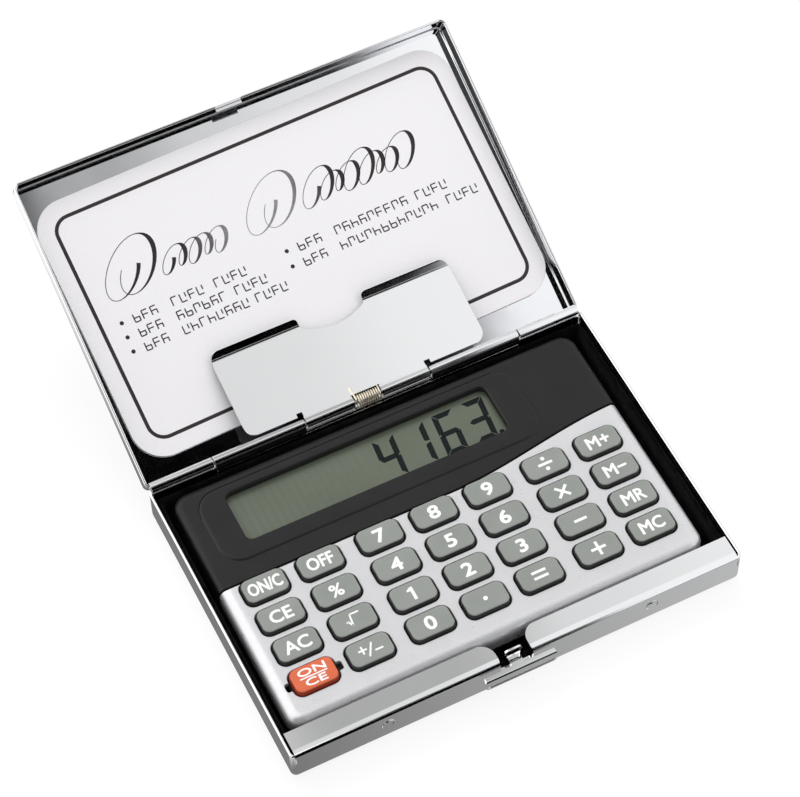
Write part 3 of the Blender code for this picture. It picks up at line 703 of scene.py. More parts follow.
def make_liner():
    """The flocked velvet lining: padded walls with soft top edges round the module, and a floor."""
    low, high = box_mm("base_liner")
    base = rounded_rect(low[0], low[1], high[0], high[1], 0.9, 4)
    base = even_outline(base, 0.9)
    cx = (low[0] + high[0]) / 2
    cy = (low[1] + high[1]) / 2
    half_x = (high[0] - low[0]) / 2
    half_y = (high[1] - low[1]) / 2
    top = high[2]
    floor = low[2] + 0.4
    profile = [(6.0, low[2]), (2.0, low[2]), (0.7, low[2]), (0.0, low[2] + 0.9)]
    profile += [(0.0, z) for z in (2.6, 3.6, 4.6, 5.4)]
    for a in (0.3, 0.8, 1.3, 1.85, 2.35, 2.85):
        profile.append((0.4 - 0.4 * math.cos(a), top - 0.5 + 0.5 * math.sin(a)))
    profile += [(0.86, 5.2), (0.9, 4.4), (0.9, 3.4), (0.88, 2.5), (1.0, 1.9), (1.4, floor + 0.15)]
    profile += [(1.4 + 0.8 * k, floor) for k in range(1, 8)]
    rings = []
    for inset, z in profile:
        sx = (half_x - inset) / half_x
        sy = (half_y - inset) / half_y
        ring = []
        for x, y in base:
            px, py = cx + (x - cx) * sx, cy + (y - cy) * sy
            spot = Vector((px, py, z))
            swell = noise.noise(spot * 0.55) * 0.12 + noise.noise(spot * 2.1) * 0.05
            inward = Vector((cx - px, cy - py, 0)).normalized() if inset < 1.2 else Vector((0, 0, 1))
            if inset < 0.3 or z < floor - 0.1:
                swell = 0.0
            ring.append(tuple(spot + inward * swell))
        rings.append(ring)
    liner = loft("velvet_liner", rings)
    notch_low = (LATCH_X - LINER_NOTCH / 2, low[1] - 1, LINER_NOTCH_Z)
    notch_high = (LATCH_X + LINER_NOTCH / 2, low[1] + 1.4, LINER_NOTCH_TOP)
    boolean(liner, "DIFFERENCE", [block("liner_notch", notch_low, notch_high)])
    dress(liner, VELVET, 0.0, 80)
    mount(liner, "base", "velvet", "base_liner")


def curl_path(offset, foot, up=1):
    """From the foot of a leaf up beside the barrel, then once round the pin."""
    side = -1 if offset < 0 else 1
    path = [(offset, foot), (offset, foot + 0.5), (offset, -1.6), (side * (abs(offset) - 0.02), -1.1)]
    path += [(side * (CURL_R + 0.03), -0.5)]
    for i in range(25):
        angle = math.radians(180 - 318 * i / 24)
        path.append((-side * CURL_R * math.cos(angle), CURL_R * math.sin(angle) * up))
    return path


def hinge_leaf(name, side, spans, strip_end, foot, place):
    """A stamped leaf whose knuckles are curled from the same sheet. Points are about the pin's axis."""
    offset = side * LEAF_OFFSET
    strip_low = (-strip_end, offset - LEAF / 2, foot)
    strip_high = (strip_end, offset + LEAF / 2, -1.8)
    strip = block(name, strip_low, strip_high, place)
    knuckles = []
    for i, (a, b) in enumerate(spans):
        path = []
        for y, z in curl_path(-LEAF_OFFSET, -2.2)[1:]:
            path.append((-side * y, z))
        knuckles.append(bar(f"{name}_{i}", thickened(path, LEAF), a, b, None, place))
    boolean(strip, "UNION", knuckles)
    return dress(strip, CHROME, 0.05)


def make_hinge():
    upright = Matrix.Translation(HINGE["pos_m"])
    base_spans = []
    lid_spans = []
    for side in (-1, 1):
        inner = (side * (BASE_KNUCKLE[0] + KNUCKLE_GAP), side * (BASE_KNUCKLE[1] - KNUCKLE_GAP))
        outer = (side * (LID_KNUCKLE[0] + KNUCKLE_GAP), side * LID_KNUCKLE[1])
        base_spans.append(tuple(sorted(inner)))
        lid_spans.append(tuple(sorted(outer)))
    base_low = box_mm("base_hinge_leaf")[0]
    leaf = hinge_leaf("leaf_base", -1, base_spans, BASE_KNUCKLE[1] - 0.4, base_low[2] - HINGE_Z, upright)
    mount(leaf, "base", "chrome", "base_hinge_leaf")
    leaf = hinge_leaf("leaf_lid", 1, lid_spans, LID_KNUCKLE[1] - 0.6, -3.4, LID_PLACE)
    mount(leaf, "lid", "chrome", "lid_hinge_leaf")
    low, high = box_mm("hinge_pin")
    rings = []
    stations = [(low[0], 0.22), (low[0] + 0.06, 0.34), (low[0] + 0.16, PIN_R)]
    stations += [(high[0] - 0.16, PIN_R), (high[0] - 0.06, 0.34), (high[0], 0.22)]
    for x, radius in stations:
        rings.append([(x, HINGE_Y + a, HINGE_Z + b) for a, b in circle(radius, 24)])
    pin = loft("pin", rings)
    dress(pin, STEEL)
    mount(pin, "base", "steel", "hinge_pin")


def make_case_lid():
    outer = (-CASE_X, -LID_RIM, CASE_X, LID_D)
    floor = LID_RIM - LID_DEPTH
    shell = tray("case_lid", outer, CASE_CORNER, pressed_profile(floor, LID_RIM), None, LID_PLACE)
    strike_low = (LATCH_X - 2.7, LID_D - 1.15, LID_RIM - 1.0)
    strike_high = (LATCH_X + 2.7, LID_D - 0.25, LID_RIM - 0.7)
    boolean(shell, "UNION", [block("strike", strike_low, strike_high, LID_PLACE)])
    notch_low = (LATCH_X - 2.8, LID_D - 0.8, LID_RIM - 0.4)
    notch_high = (LATCH_X + 2.8, LID_D + 1, LID_RIM + 1)
    cuts = [
        block("clear", (-45.6, -1, LID_RIM - HINGE_CUT), (45.6, 1.3, LID_RIM + 2), LID_PLACE),
        block("notch", notch_low, notch_high, LID_PLACE),
    ]
    boolean(shell, "DIFFERENCE", cuts)
    dress(shell, CHROME, 0.06)
    mount(shell, "lid", "chrome", "lid_shell")


# ---------------------------------------------------------------- card


def ribbon(name, path, widths, z0, z1, material):
    """A flat stroke along a path whose width varies."""
    rings = []
    for i, (x, y) in enumerate(path):
        before = path[max(i - 1, 0)]
        after = path[min(i + 1, len(path) - 1)]
        dx, dy = after[0] - before[0], after[1] - before[1]
        length = math.hypot(dx, dy) or 1.0
        nx, ny = -dy / length * widths[i] / 2, dx / length * widths[i] / 2
        rings.append([(x + nx, y + ny, z0), (x - nx, y - ny, z0), (x - nx, y - ny, z1), (x + nx, y + ny, z1)])
    return loft(name, rings, material)


def frame_line(name, box, corner, width, z0, z1, material):
    """A closed rounded line."""
    outer = rounded_rect(*box, corner)
    inner = rounded_rect(box[0] + width, box[1] + width, box[2] - width, box[3] - width, corner - width)
    count = len(outer)
    verts = []
    for z in (z0, z1):
        verts += [(x, y, z) for x, y in outer]
        verts += [(x, y, z) for x, y in inner]
    faces = []
    for i in range(count):
        j = (i + 1) % count
        for a, b in ((0, count), (count, 3 * count), (3 * count, 2 * count), (2 * count, 0)):
            faces.append((a + i, a + j, b + j, b + i))
    return solid(name, verts, faces, material)


def swash(x0, y0, length, loops, height, curl, thick, swell, z0, z1):
    """A looping pen flourish: thin upstrokes, thick downstrokes. It spells nothing."""
    path = []
    steps = int(loops * 40)
    for i in range(steps + 1):
        t = i / steps
        turn = 2 * math.pi * (loops * t + 0.25)
        tall = height * (1.0 + swell * math.sin(math.pi * (2.3 * t + 0.35)) ** 2)
        y = tall * math.cos(turn)
        x = length * t + curl * tall * math.sin(turn) + 0.55 * y
        path.append((x0 + x, y0 + y + 0.35 * (tall - height)))
    widths = []
    for i in range(len(path)):
        a, b = path[max(i - 1, 0)], path[min(i + 1, len(path) - 1)]
        down = (a[1] - b[1]) / (math.hypot(b[0] - a[0], b[1] - a[1]) or 1.0)
        widths.append(0.15 + thick * max(0.0, down) ** 2)
    return ribbon("swash", path, widths, z0, z1, FOIL)


def stroke_mark(points, width, z0, z1, material):
    return plate("stroke", thickened(points, width), z0, z1, material)


def greeked_line(x, y, words, z0, z1):
    """A bullet and rows of short strokes, standing for a line of small print. They spell nothing."""
    tall = 0.84
    wide = 0.56
    strokes = (
        ((-wide, -tall), (-wide, tall)),
        ((wide, -tall), (wide, tall * 0.1)),
        ((-wide, tall), (wide, tall)),
        ((-wide, 0.0), (wide, 0.0)),
        ((-wide, -tall), (wide, -tall)),
        ((wide, tall), (wide, -tall * 0.1)),
    )
    patterns = ((0, 2, 3), (0, 4, 5), (0, 2, 5), (0, 3, 1, 4), (0, 2), (1, 3, 0), (0, 2, 1, 3))
    marks = [plate("bullet", circle(0.42, 16, x, y + 0.1), z0, z1, INK_BROWN)]
    pitch = 1.8
    for start, count in words:
        for k in range(count):
            cx = x + start + pitch * k
            for number in patterns[(k * 3 + k * k + count) % len(patterns)]:
                points = [(cx + a, y + b) for a, b in strokes[number]]
                marks.append(stroke_mark(points, 0.26, z0, z1, INK_GREY))
    return marks


def make_card():
    place = LID_PLACE @ Matrix.Translation(Vector((0, CARD_CENTRE, LID_FLOOR + CARD_LIFT)) * MM)
    place = place @ Matrix.Rotation(CARD_TILT, 4, "Z")
    half_w = CARD_W / 2
    half_h = CARD_H / 2
    edge = 0.05
    profile = ((edge, 0.0), (0.0, edge), (0.0, CARD_T - edge), (edge, CARD_T))
    sheet = tray("sheet", (-half_w, -half_h, half_w, half_h), CARD_CORNER, profile, CARD, IDENTITY, 14)
    z0, z1 = CARD_T - INK, CARD_T + INK / 2
    inset = 3.25
    line_box = (-half_w + inset, -half_h + inset, half_w - inset, half_h - inset)
    prints = [frame_line("border", line_box, CARD_CORNER - inset + 0.3, 0.72, z0, z1, INK_BROWN)]
    prints.append(swash(-33.5, 9.4, 5.5, 1.5, 4.9, 0.85, 0.8, 0.12, z0, z1))
    prints.append(swash(-24.0, 7.6, 12.5, 4.5, 1.8, 0.7, 0.75, 0.5, z0, z1))
    prints.append(swash(-3.6, 10.2, 6.5, 1.5, 4.7, 0.85, 0.7, 0.12, z0, z1))
    prints.append(swash(7.5, 9.0, 22.0, 7.5, 1.9, 0.7, 0.75, 0.9, z0, z1))
    # The middle word's length and the last word's start, for each line of small print
    for row, (count, last) in enumerate(((4, 20.2), (6, 23.4), (8, 26.6))):
        words = ((3.1, 3), (11.1, count), (last, 4))
        prints += greeked_line(-36.9 - 0.15 * row, 0.0 - 2.95 * row, words, z0, z1)
    for row, (count, last) in enumerate(((9, 28.8), (12, 34.4))):
        words = ((3.1, 3), (11.1, count), (last, 4))
        prints += greeked_line(-1.7 - 0.25 * row, 0.1 - 3.2 * row, words, z0, z1)
    card = joined("card", [sheet, *prints], place)
    smooth(card, 0.0, 40)
    mount(card, "lid", "card", "info_card")


# ---------------------------------------------------------------- flap and spring


def flap_outline():
    half = FLAP_W / 2
    neck = FLAP_KNUCKLE[1] - KNUCKLE_GAP - 0.1
    right = [(neck, -0.1), (neck, FLAP_ROOT + 0.8), (neck + 1.2, FLAP_ROOT + 0.8), (neck + 1.2, FLAP_ROOT)]
    right += arc(half - FLAP_CORNER, FLAP_ROOT + FLAP_CORNER, FLAP_CORNER, -90, 0, 10)
    right += arc(half - 0.9, FLAP_TIP - 0.9, 0.9, 0, 90, 6)
    right += [(FLAP_NOTCH + 1.4, FLAP_TIP)]
    steps = 16
    dip = []
    for i in range(2 * steps + 1):
        t = 1 - i / steps
        dip.append((FLAP_NOTCH * t, FLAP_TIP - FLAP_NOTCH_DEPTH * math.cos(t * math.pi / 2) ** 0.75))
    left = [(-x, y) for x, y in reversed(right)]
    # The neck stays on its knuckles, and the rest is shifted
    outline = []
    for x, y in right + dip[1:-1] + left:
        outline.append((x + (FLAP_SHIFT if y > FLAP_ROOT + 0.9 or abs(x) > 20 else 0.0), y))
    return outline


def corner_inset(s, length, corner):
    """How far a rounded corner pulls an edge in, at distance s along a strip of the given length."""
    past = max(0.0, s - (length - corner))
    return corner - math.sqrt(max(corner * corner - past * past, 0.0))


def curled_lip(side, under):
    """A lead-in lip, curled up off the card, with rounded ends."""
    steps = 16
    length = math.radians(LIP_SWEEP) * LIP_R
    rings = []
    for i in range(steps + 1):
        share = (i / steps) * 0.985
        angle = math.radians(-90 + LIP_SWEEP * share)
        s = length * share
        inner = LIP_ENDS[0] + 0.25 * share + corner_inset(s, length, LIP_INNER_CORNER)
        outer = LIP_ENDS[1] - corner_inset(s, length, LIP_OUTER_CORNER)
        outside = LIP_R - 0.01
        inside = LIP_R - FLAP_T + 0.01
        ring = []
        for x, radius in ((inner, outside), (outer, outside), (outer, inside), (inner, inside)):
            y = FLAP_TIP - 0.3 + radius * math.cos(angle)
            ring.append((side * x + FLAP_SHIFT, y, under + LIP_R + radius * math.sin(angle)))
        rings.append(ring)
    return loft(f"lip_{side}", rings, None, FLAP_PLACE)


def make_flap():
    """The sprung flap: thin plate, two curled lips with rounded ends, two curled knuckles."""
    top = FLAP_TOP
    under = top - FLAP_T
    flap = plate("card_flap", flap_outline(), under, top, None, FLAP_PLACE)
    lips = [curled_lip(side, under) for side in (-1, 1)]
    knuckles = []
    for side in (-1, 1):
        ends = sorted((side * (FLAP_KNUCKLE[0] + KNUCKLE_GAP), side * (FLAP_KNUCKLE[1] - KNUCKLE_GAP)))
        path = [(1.2, top - FLAP_T / 2), (0.8, top - FLAP_T / 2)]
        path += arc(0, 0, CURL_R, 50, 50 + 290, 26)
        knuckles.append(bar(f"flap_knuckle_{side}", thickened(path, FLAP_T - 0.03), *ends, None, FLAP_PLACE))
    slot_half = FLAP_KNUCKLE[0] + 2 * KNUCKLE_GAP
    slots = [block("spring_slot", (-slot_half, -3, -3), (slot_half, SPRING_SLOT, 3), FLAP_PLACE)]
    for side in (-1, 1):
        ends = sorted((side * slot_half * 0.9, side * 13))
        slots.append(block(f"root_{side}", (ends[0], -3, -3), (ends[1], 1.0, 3), FLAP_PLACE))
    boolean(flap, "UNION", lips)
    boolean(flap, "DIFFERENCE", slots)
    boolean(flap, "UNION", knuckles)
    dress(flap, CHROME_FLAP, 0.05)
    # Faces turned down behind the root take the dark metal: painted shade under the flap.
    flap.data.materials.append(UNDERSIDE_PAINTED_SHADE)
    for face in flap.data.polygons:
        if face.normal.z < -0.6 and face.center.y > FLAP_ROOT * MM:
            face.material_index = 1
    mount(flap, "retainer", "chrome", "card_retainer")


def make_spring():
    """A close-wound torsion spring with one leg on the flap and one on the lid."""
    length = 2 * FLAP_KNUCKLE[0] - 0.7
    segments = 24
    slope = math.radians(-10.0)
    lead = Vector((0, math.cos(slope), math.sin(slope)))
    path = []
    for i in range(SPRING_TURNS * segments + 1):
        angle = math.pi / 2 + slope - 2 * math.pi * i / segments
        x = -length / 2 + length * i / (SPRING_TURNS * segments)
        path.append(Vector((x, SPRING_COIL_R * math.cos(angle), SPRING_COIL_R * math.sin(angle))))
    first, last = path[0], path[-1]
    start = [first + Vector((-0.25, 0, 0)) + lead * 2.9, first + Vector((-0.12, 0, 0)) + lead * 1.2]
    tail = [last + Vector((0.1, 1.0, -0.6)), last + Vector((0.2, 2.4, -2.2))]
    path = start + path + tail
    rings = []
    previous = Vector((1, 0, 0))
    for i, point in enumerate(path):
        tangent = (path[min(i + 1, len(path) - 1)] - path[max(i - 1, 0)]).normalized()
        side = (previous - tangent * previous.dot(tangent)).normalized()
        up = tangent.cross(side)
        previous = side
        rings.append([tuple(point + side * a + up * b) for a, b in circle(SPRING_WIRE_R, 10)])
    spring = loft("coil_spring", rings, None, LID_PLACE)
    dress(spring, SPRING)
    mount(spring, "lid", "spring_wire", "retainer_spring")


# ---------------------------------------------------------------- latch


def make_latch():
    """The push button: a bar turned down over the front wall with rounded ends, and the catch hook."""
    low, high = box_mm("latch_tab")
    x = (low[0] + high[0]) / 2
    half = (high[0] - low[0]) / 2
    front = low[1]
    foot = low[2]
    top = LATCH_TOP
    back = FRONT - 0.75
    bend_y = front + LATCH_BEND
    bend_z = top - LATCH_BEND
    outer = [(back, top)] + arc(bend_y, bend_z, LATCH_BEND, 90, 180, 8) + [(front, foot)]
    inner = [(front + LATCH_SHEET, foot)]
    inner += arc(bend_y, bend_z, LATCH_BEND - LATCH_SHEET, 180, 90, 4) + [(back, top - LATCH_SHEET)]
    sheet = bar("latch_button", outer + inner, x - half, x + half)
    outline = rounded_rect(x - half, foot, x + half, top + 0.25, LATCH_END_ROUND, 12)
    face = loft("face", [[(a, y, z) for a, z in outline] for y in (front - 1, back + 1)])
    boolean(sheet, "INTERSECT", [face])
    plan = rounded_rect(x - half, front, x + half, back + 2.0, LATCH_PLAN_ROUND, 8)
    boolean(sheet, "INTERSECT", [plate("plan", plan, foot - 1, top + 1)])
    panel_box = (x - half + PANEL_SIDE, foot + PANEL_FOOT, x + half - PANEL_SIDE, top - PANEL_SIDE)
    panel = rounded_rect(*panel_box, PANEL_ROUND, 10)
    depths = (front - 1, front + PANEL_DEPTH)
    boolean(sheet, "DIFFERENCE", [loft("panel", [[(a, y, z) for a, z in panel] for y in depths])])
    neck_z = LATCH_NOTCH_Z + 0.15
    stem = block("stem", (x - NECK_HALF, front + 0.2, neck_z), (x + NECK_HALF, back - 0.1, top - 0.2))
    neck_high = (x + NECK_HALF, FRONT + 1.7, neck_z + NECK_SHEET)
    neck = block("neck", (x - NECK_HALF, back - 0.3, neck_z), neck_high)
    hook_y = FRONT + HOOK_BACK
    left = x - HOOK_HALF
    right = x + HOOK_HALF
    turn_z = HOOK_SHOULDER + 0.05
    loop = [(left, neck_z + 0.1), (left, HOOK_SHOULDER)]
    loop += arc(left + HOOK_ROUND, turn_z, HOOK_ROUND, 180, 90, 6)[1:]
    loop += arc(right - HOOK_ROUND, turn_z, HOOK_ROUND, 90, 0, 6)
    loop += [(right, HOOK_SHOULDER), (right, neck_z + 0.1)]
    wire = thickened(loop, HOOK_WIRE)
    hook = loft("hook", [[(a, y, z) for a, z in wire] for y in (hook_y - 0.2, hook_y + 0.2)])
    bar_low = (left - 0.15, hook_y - 0.18, neck_z + 0.02)
    foot_bar = block("foot_bar", bar_low, (right + 0.15, hook_y + 0.18, neck_z + HOOK_WIRE))
    boolean(sheet, "UNION", [stem, neck, hook, foot_bar])
    dress(sheet, CHROME, 0.07)
    mount(sheet, "latch", "chrome", "latch_tab")


# ---------------------------------------------------------------- module


def part_line(x):
    """Y of the line between the black housing and the silver keypad cover."""
    start, end = PART_LINE_X
    t = min(max((x - start) / (end - start), 0.0), 1.0)
    return PART_LINE_Y + PART_LINE_RISE * t * t * (3 - 2 * t)


def region(name, offset, far_y, edge):
    """A prism on one side of the part line; its top edge leans away from the line by edge."""
    xs = [MOD_BOX[0] - 40]
    xs += [PART_LINE_X[0] + (PART_LINE_X[1] - PART_LINE_X[0]) * i / 28 for i in range(29)]
    xs += [MOD_BOX[2] + 40]
    away = 1 if far_y > PART_LINE_Y else -1
    rings = []
    levels = ((-5, 0.0), (MOD_TOP - edge, 0.0), (MOD_TOP - edge * 0.35, edge * 0.25))
    for z, lean in levels + ((MOD_TOP, edge), (MOD_TOP + 5, edge + 5)):
        ring = [(x, part_line(x) + offset + away * lean, z) for x in xs]
        rings.append(ring + [(xs[-1], far_y, z), (xs[0], far_y, z)])
    return loft(name, rings)


def module_cap(name, edge_w, edge_h):
    """The module's cover with an elliptical edge."""
    profile = []
    steps = 10
    for i in range(steps + 1):
        angle = math.pi / 2 * i / steps
        profile.append((edge_w * (1 - math.sin(angle)), MOD_TOP - edge_h * (1 - math.cos(angle))))
    profile += [(0.0, MOD_FOOT), (MOD_WALL, MOD_FOOT), (MOD_WALL, MOD_TOP - 1.1)]
    return tray(name, MOD_BOX, MOD_CORNER, profile, None, IDENTITY, 12)


def bosses(name, y, bore):
    """Screw posts in two corners, or the cutters for their bores."""
    posts = []
    for x in (MOD_BOX[0] + BOSS_INSET, MOD_BOX[2] - BOSS_INSET):
        if bore:
            posts.append(plate(name, circle(0.95, 20, x, y), MOD_FOOT - 1, MOD_TOP - 1.5))
        else:
            posts.append(plate(name, circle(1.3, 24, x, y), MOD_FOOT, MOD_TOP - 0.8))
    return joined(name, posts)


def make_housing():
    housing = module_cap("display_housing", 1.7, 1.25)
    boolean(housing, "INTERSECT", [region("region", 0.15, MOD_BOX[3] + 5, 0.25)])
    rise = BEZEL_TOP - MOD_TOP
    steps = ((-0.1, -0.5), (-0.1, -0.02), (0.0, 0.03), (0.16, 0.17), (0.36, 0.25), (0.7, rise))
    profile = [(inset, MOD_TOP + z) for inset, z in steps]
    raised = tray("bezel", BEZEL, BEZEL_CORNER, profile, None, IDENTITY, 14)
    profile = [(0.0, MOD_TOP - 4), (0.0, BEZEL_TOP - 0.4), (-0.06, BEZEL_TOP - 0.2)]
    profile += [(-0.35, BEZEL_TOP), (-1.6, BEZEL_TOP + 1)]
    window = tray("window", WINDOW, WINDOW_CORNER, profile)
    y = MOD_BOX[3] - BOSS_INSET
    boolean(housing, "UNION", [raised, bosses("post", y, False)])
    boolean(housing, "DIFFERENCE", [window, bosses("bore", y, True)])
    groove_box = (BEZEL[0] - 0.08, BEZEL[1] - 0.08, BEZEL[2] + 0.08, BEZEL[3] + 0.08)
    groove = frame_line("groove", groove_box, BEZEL_CORNER, 0.17, MOD_TOP - 0.22, MOD_TOP + 1, None)
    boolean(groove, "INTERSECT", [block("back_half", (BEZEL[0] - 5, 21.5, 0), (BEZEL[2] - 3.5, 40, 20))])
    boolean(housing, "DIFFERENCE", [groove])
    dress(housing, BLACK, 0.0, 42)
    # The window's side walls go near-black: painted shade in the recess.
    housing.data.materials.append(PAINTED_SHADE_BLACK)
    for face in housing.data.polygons:
        x, y, z = face.center / MM
        near_window = WINDOW[0] - 0.3 < x < WINDOW[2] + 0.3 and WINDOW[1] - 0.3 < y < WINDOW[3] + 0.3
        if near_window and abs(face.normal.z) < 0.5:
            face.material_index = 1
    mount(housing, "base", "black_plastic", "upper_housing")


def key_centre(name):
    low, high = box_mm(f"key_{name}")
    return (low[0] + high[0]) / 2, (low[1] + high[1]) / 2


def make_keypad():
    keypad = module_cap("keypad_cover", 2.4, 1.8)
    boolean(keypad, "INTERSECT", [region("region", -0.15, MOD_BOX[1] - 5, 0.35)])
    cutters = []
    for row in KEY_ROWS:
        for name in row:
            x, y = key_centre(name)
            half_w = KEY_W / 2 + KEY_GAP
            half_h = KEY_H / 2 + KEY_GAP
            steps = ((0.0, -3.0), (0.0, -0.14), (-0.12, 0.02), (-0.6, 0.5))
            profile = [(inset, MOD_TOP + z) for inset, z in steps]
            hole_box = (x - half_w, y - half_h, x + half_w, y + half_h)
            cutters.append(tray("hole", hole_box, KEY_CORNER + KEY_GAP, profile, None, IDENTITY, 6))
    x, y = key_centre("reset")
    ear = rounded_rect(x - EAR_W / 2, y - EAR_H / 2, x + EAR_W / 2, y + EAR_H / 2, 0.5, 4)
    ears = plate("ear", ear, MOD_TOP - 3.1, MOD_TOP + 2.1)
    front = MOD_BOX[1] + BOSS_INSET
    boolean(keypad, "UNION", [bosses("post", front, False)])
    boolean(keypad, "DIFFERENCE", [joined("holes", cutters), ears, bosses("bore", front, True)])
    dress(keypad, SILVER, 0.0, 30)
    mount(keypad, "base", "silver_plastic", "keypad_plate")


def polygon_mark(outline, z0, z1, cx, cy, turn=0.0, material=None):
    c, s = math.cos(turn), math.sin(turn)
    points = [(cx + x * c - y * s, cy + x * s + y * c) for x, y in outline]
    return plate("mark", points, z0, z1, material or LEGEND)


def dash(length, thick):
    a, b = length / 2, thick / 2
    return [(-a, -b), (a, -b), (a, b), (-a, b)]


def cross(length, thick):
    a, b = length / 2, thick / 2
    below = [(-a, -b), (-b, -b), (-b, -a), (b, -a), (b, -b), (a, -b)]
    return below + [(-x, -y) for x, y in below]


# A word is thickened by copies of it moved a little to every side, each a hair below the last
WEIGHT_STEPS = ((0, 0), (1, 0), (-1, 0), (0, 1), (0, -1), (0.7, 0.7), (-0.7, 0.7), (0.7, -0.7), (-0.7, -0.7))
LAYER = 0.0008


def lettering(text, height, widen, weight, z0, z1, cx, cy, material=None):
    """A word as thin solid letters, centred."""
    curve = bpy.data.curves.new("word", "FONT")
    curve.body = text
    curve.size = height / 0.72
    curve.extrude = (z1 - z0) / 2
    curve.resolution_u = 3
    obj = bpy.data.objects.new("word", curve)
    bpy.context.scene.collection.objects.link(obj)
    bpy.context.view_layer.update()
    mesh = bpy.data.meshes.new_from_object(obj.evaluated_get(bpy.context.evaluated_depsgraph_get()))
    bpy.data.objects.remove(obj, do_unlink=True)
    work = bmesh.new()
    work.from_mesh(mesh)
    bmesh.ops.remove_doubles(work, verts=work.verts, dist=0.0005)
    xs = [v.co.x for v in work.verts]
    ys = [v.co.y for v in work.verts]
    middle = Vector(((min(xs) + max(xs)) / 2, (min(ys) + max(ys)) / 2, 0))
    for vert in work.verts:
        flat = vert.co - middle
        vert.co = Vector(((cx + flat.x * widen) * MM, (cy + flat.y) * MM, ((z0 + z1) / 2 + flat.z) * MM))
    work.to_mesh(mesh)
    work.free()
    mesh.materials.clear()
    mesh.materials.append(material or LEGEND)
    copies = []
    for k, (dx, dy) in enumerate(WEIGHT_STEPS):
        result = bpy.data.objects.new("word", mesh.copy())
        result.location = Vector((dx * weight, dy * weight, -LAYER * k)) * MM
        bpy.context.scene.collection.objects.link(result)
        result.matrix_basis = Matrix.Translation(result.location)
        copies.append(result)
    return copies


def legend(name, x, y, z0, z1):
    """The white marks on one key."""
    bold = 0.1
    thick = 0.56
    if name in WORDS:
        text, widen = WORDS[name]
        return lettering(text, 2.6, widen, bold, z0, z1, x, y)
    if name.isdigit():
        if name == "1":
            figure = [(-0.95, 0.62), (-0.95, 0.95), (-0.2, 1.4), (0.32, 1.4)]
            figure += [(0.32, -1.4), (-0.3, -1.4), (-0.3, 0.62)]
            return [polygon_mark(figure, z0, z1, x, y)]
        return lettering(name, 2.8, 1.18, 0.13, z0, z1, x, y)
    if name == "plus":
        return [polygon_mark(cross(3.0, thick), z0, z1, x, y)]
    if name == "multiply":
        return [polygon_mark(cross(3.3, thick), z0, z1, x, y, math.pi / 4)]
    if name == "minus":
        return [polygon_mark(dash(2.6, thick), z0, z1, x, y)]
    if name == "equals":
        return [polygon_mark(dash(2.9, thick), z0, z1, x, y + side * 0.62) for side in (-1, 1)]
    if name == "point":
        return [polygon_mark(circle(0.45, 18), z0, z1, x, y)]
    if name == "divide":
        dots = [polygon_mark(circle(0.42, 16), z0, z1, x, y + side * 1.2) for side in (-1, 1)]
        return dots + [polygon_mark(dash(2.9, thick), z0, z1, x, y)]
    if name == "root":
        strokes = (
            ((-1.35, -0.3), (-1.05, 0.0)),
            ((-1.05, 0.0), (-0.5, -1.25)),
            ((-0.5, -1.3), (-0.2, 1.25)),
            ((-0.2, 1.25), (1.6, 1.25)),
        )
        return [polygon_mark(thickened(stroke, 0.34), z0, z1, x, y) for stroke in strokes]
    if name == "sign":
        marks = [polygon_mark(cross(1.7, 0.36), z0, z1, x - 1.35, y + 0.35)]
        marks.append(polygon_mark(dash(3.0, 0.34), z0, z1, x + 0.1, y, math.radians(62)))
        marks.append(polygon_mark(dash(1.6, 0.36), z0, z1, x + 1.6, y - 0.55))
        return marks
    marks = lettering("ON", 1.5, 1.75, 0.06, z0, z1, x, y + 1.12)
    marks += lettering("CE", 1.5, 1.75, 0.06, z0, z1, x, y - 1.12)
    marks.append(polygon_mark(dash(5.4, 0.26), z0, z1, x, y))
    return marks


def key_body(name, x, y, steps, material):
    rings = []
    for inset, z in steps:
        half_w = KEY_W / 2 - inset
        half_h = KEY_H / 2 - inset
        corner = max(KEY_CORNER - inset * 0.8, 0.4)
        outline = rounded_rect(x - half_w, y - half_h, x + half_w, y + half_h, corner, 7)
        rings.append([(a, b, z) for a, b in outline])
    return loft(name, rings, material)


def make_keys():
    """Moulded caps with soft shoulders and steep sides darkened as painted shade, a near-black skirt below
    the cover as painted shade in the gaps, and printed legends.
    """
    for row in KEY_ROWS:
        for name in row:
            x, y = key_centre(name)
            low, high = box_mm(f"key_{name}")
            foot, top = low[2], high[2]
            material = KEY_RED if name == "reset" else KEY_GREY
            steps = [(0.0, MOD_TOP - 0.75), (0.0, MOD_TOP - 0.1), (0.14, top - 0.26)]
            steps += [(0.18, top - 0.14), (0.25, top - 0.06), (0.35, top - 0.015), (0.48, top), (0.8, top)]
            cap = key_body("cap", x, y, steps, material)
            # The steep sides take the darker copy: painted shade on the caps' side walls.
            cap.data.materials.append(KEY_RED_SIDE_PAINTED_SHADE if name == "reset" else KEY_SIDE_PAINTED_SHADE)
            for face in cap.data.polygons:
                if abs(face.normal.z) < 0.5:
                    face.material_index = 1
            # The skirt is near-black: painted shade seen down the gaps round the key.
            shelf = foot + 0.5
            skirt_steps = [(-KEY_SKIRT, foot), (-KEY_SKIRT, shelf), (0.02, shelf), (0.02, MOD_TOP - 0.7)]
            skirt = key_body("skirt", x, y, skirt_steps, PAINTED_SHADE_BLACK)
            marks = legend(name, x, y, top - 0.04, top + 0.012)
            key = joined(f"cap_{name}", [cap, skirt, *marks])
            smooth(key, 0.0, 40)
            mount(key, f"button_{name}", "key_red" if name == "reset" else "key_grey", f"key_{name}")


# ---------------------------------------------------------------- display

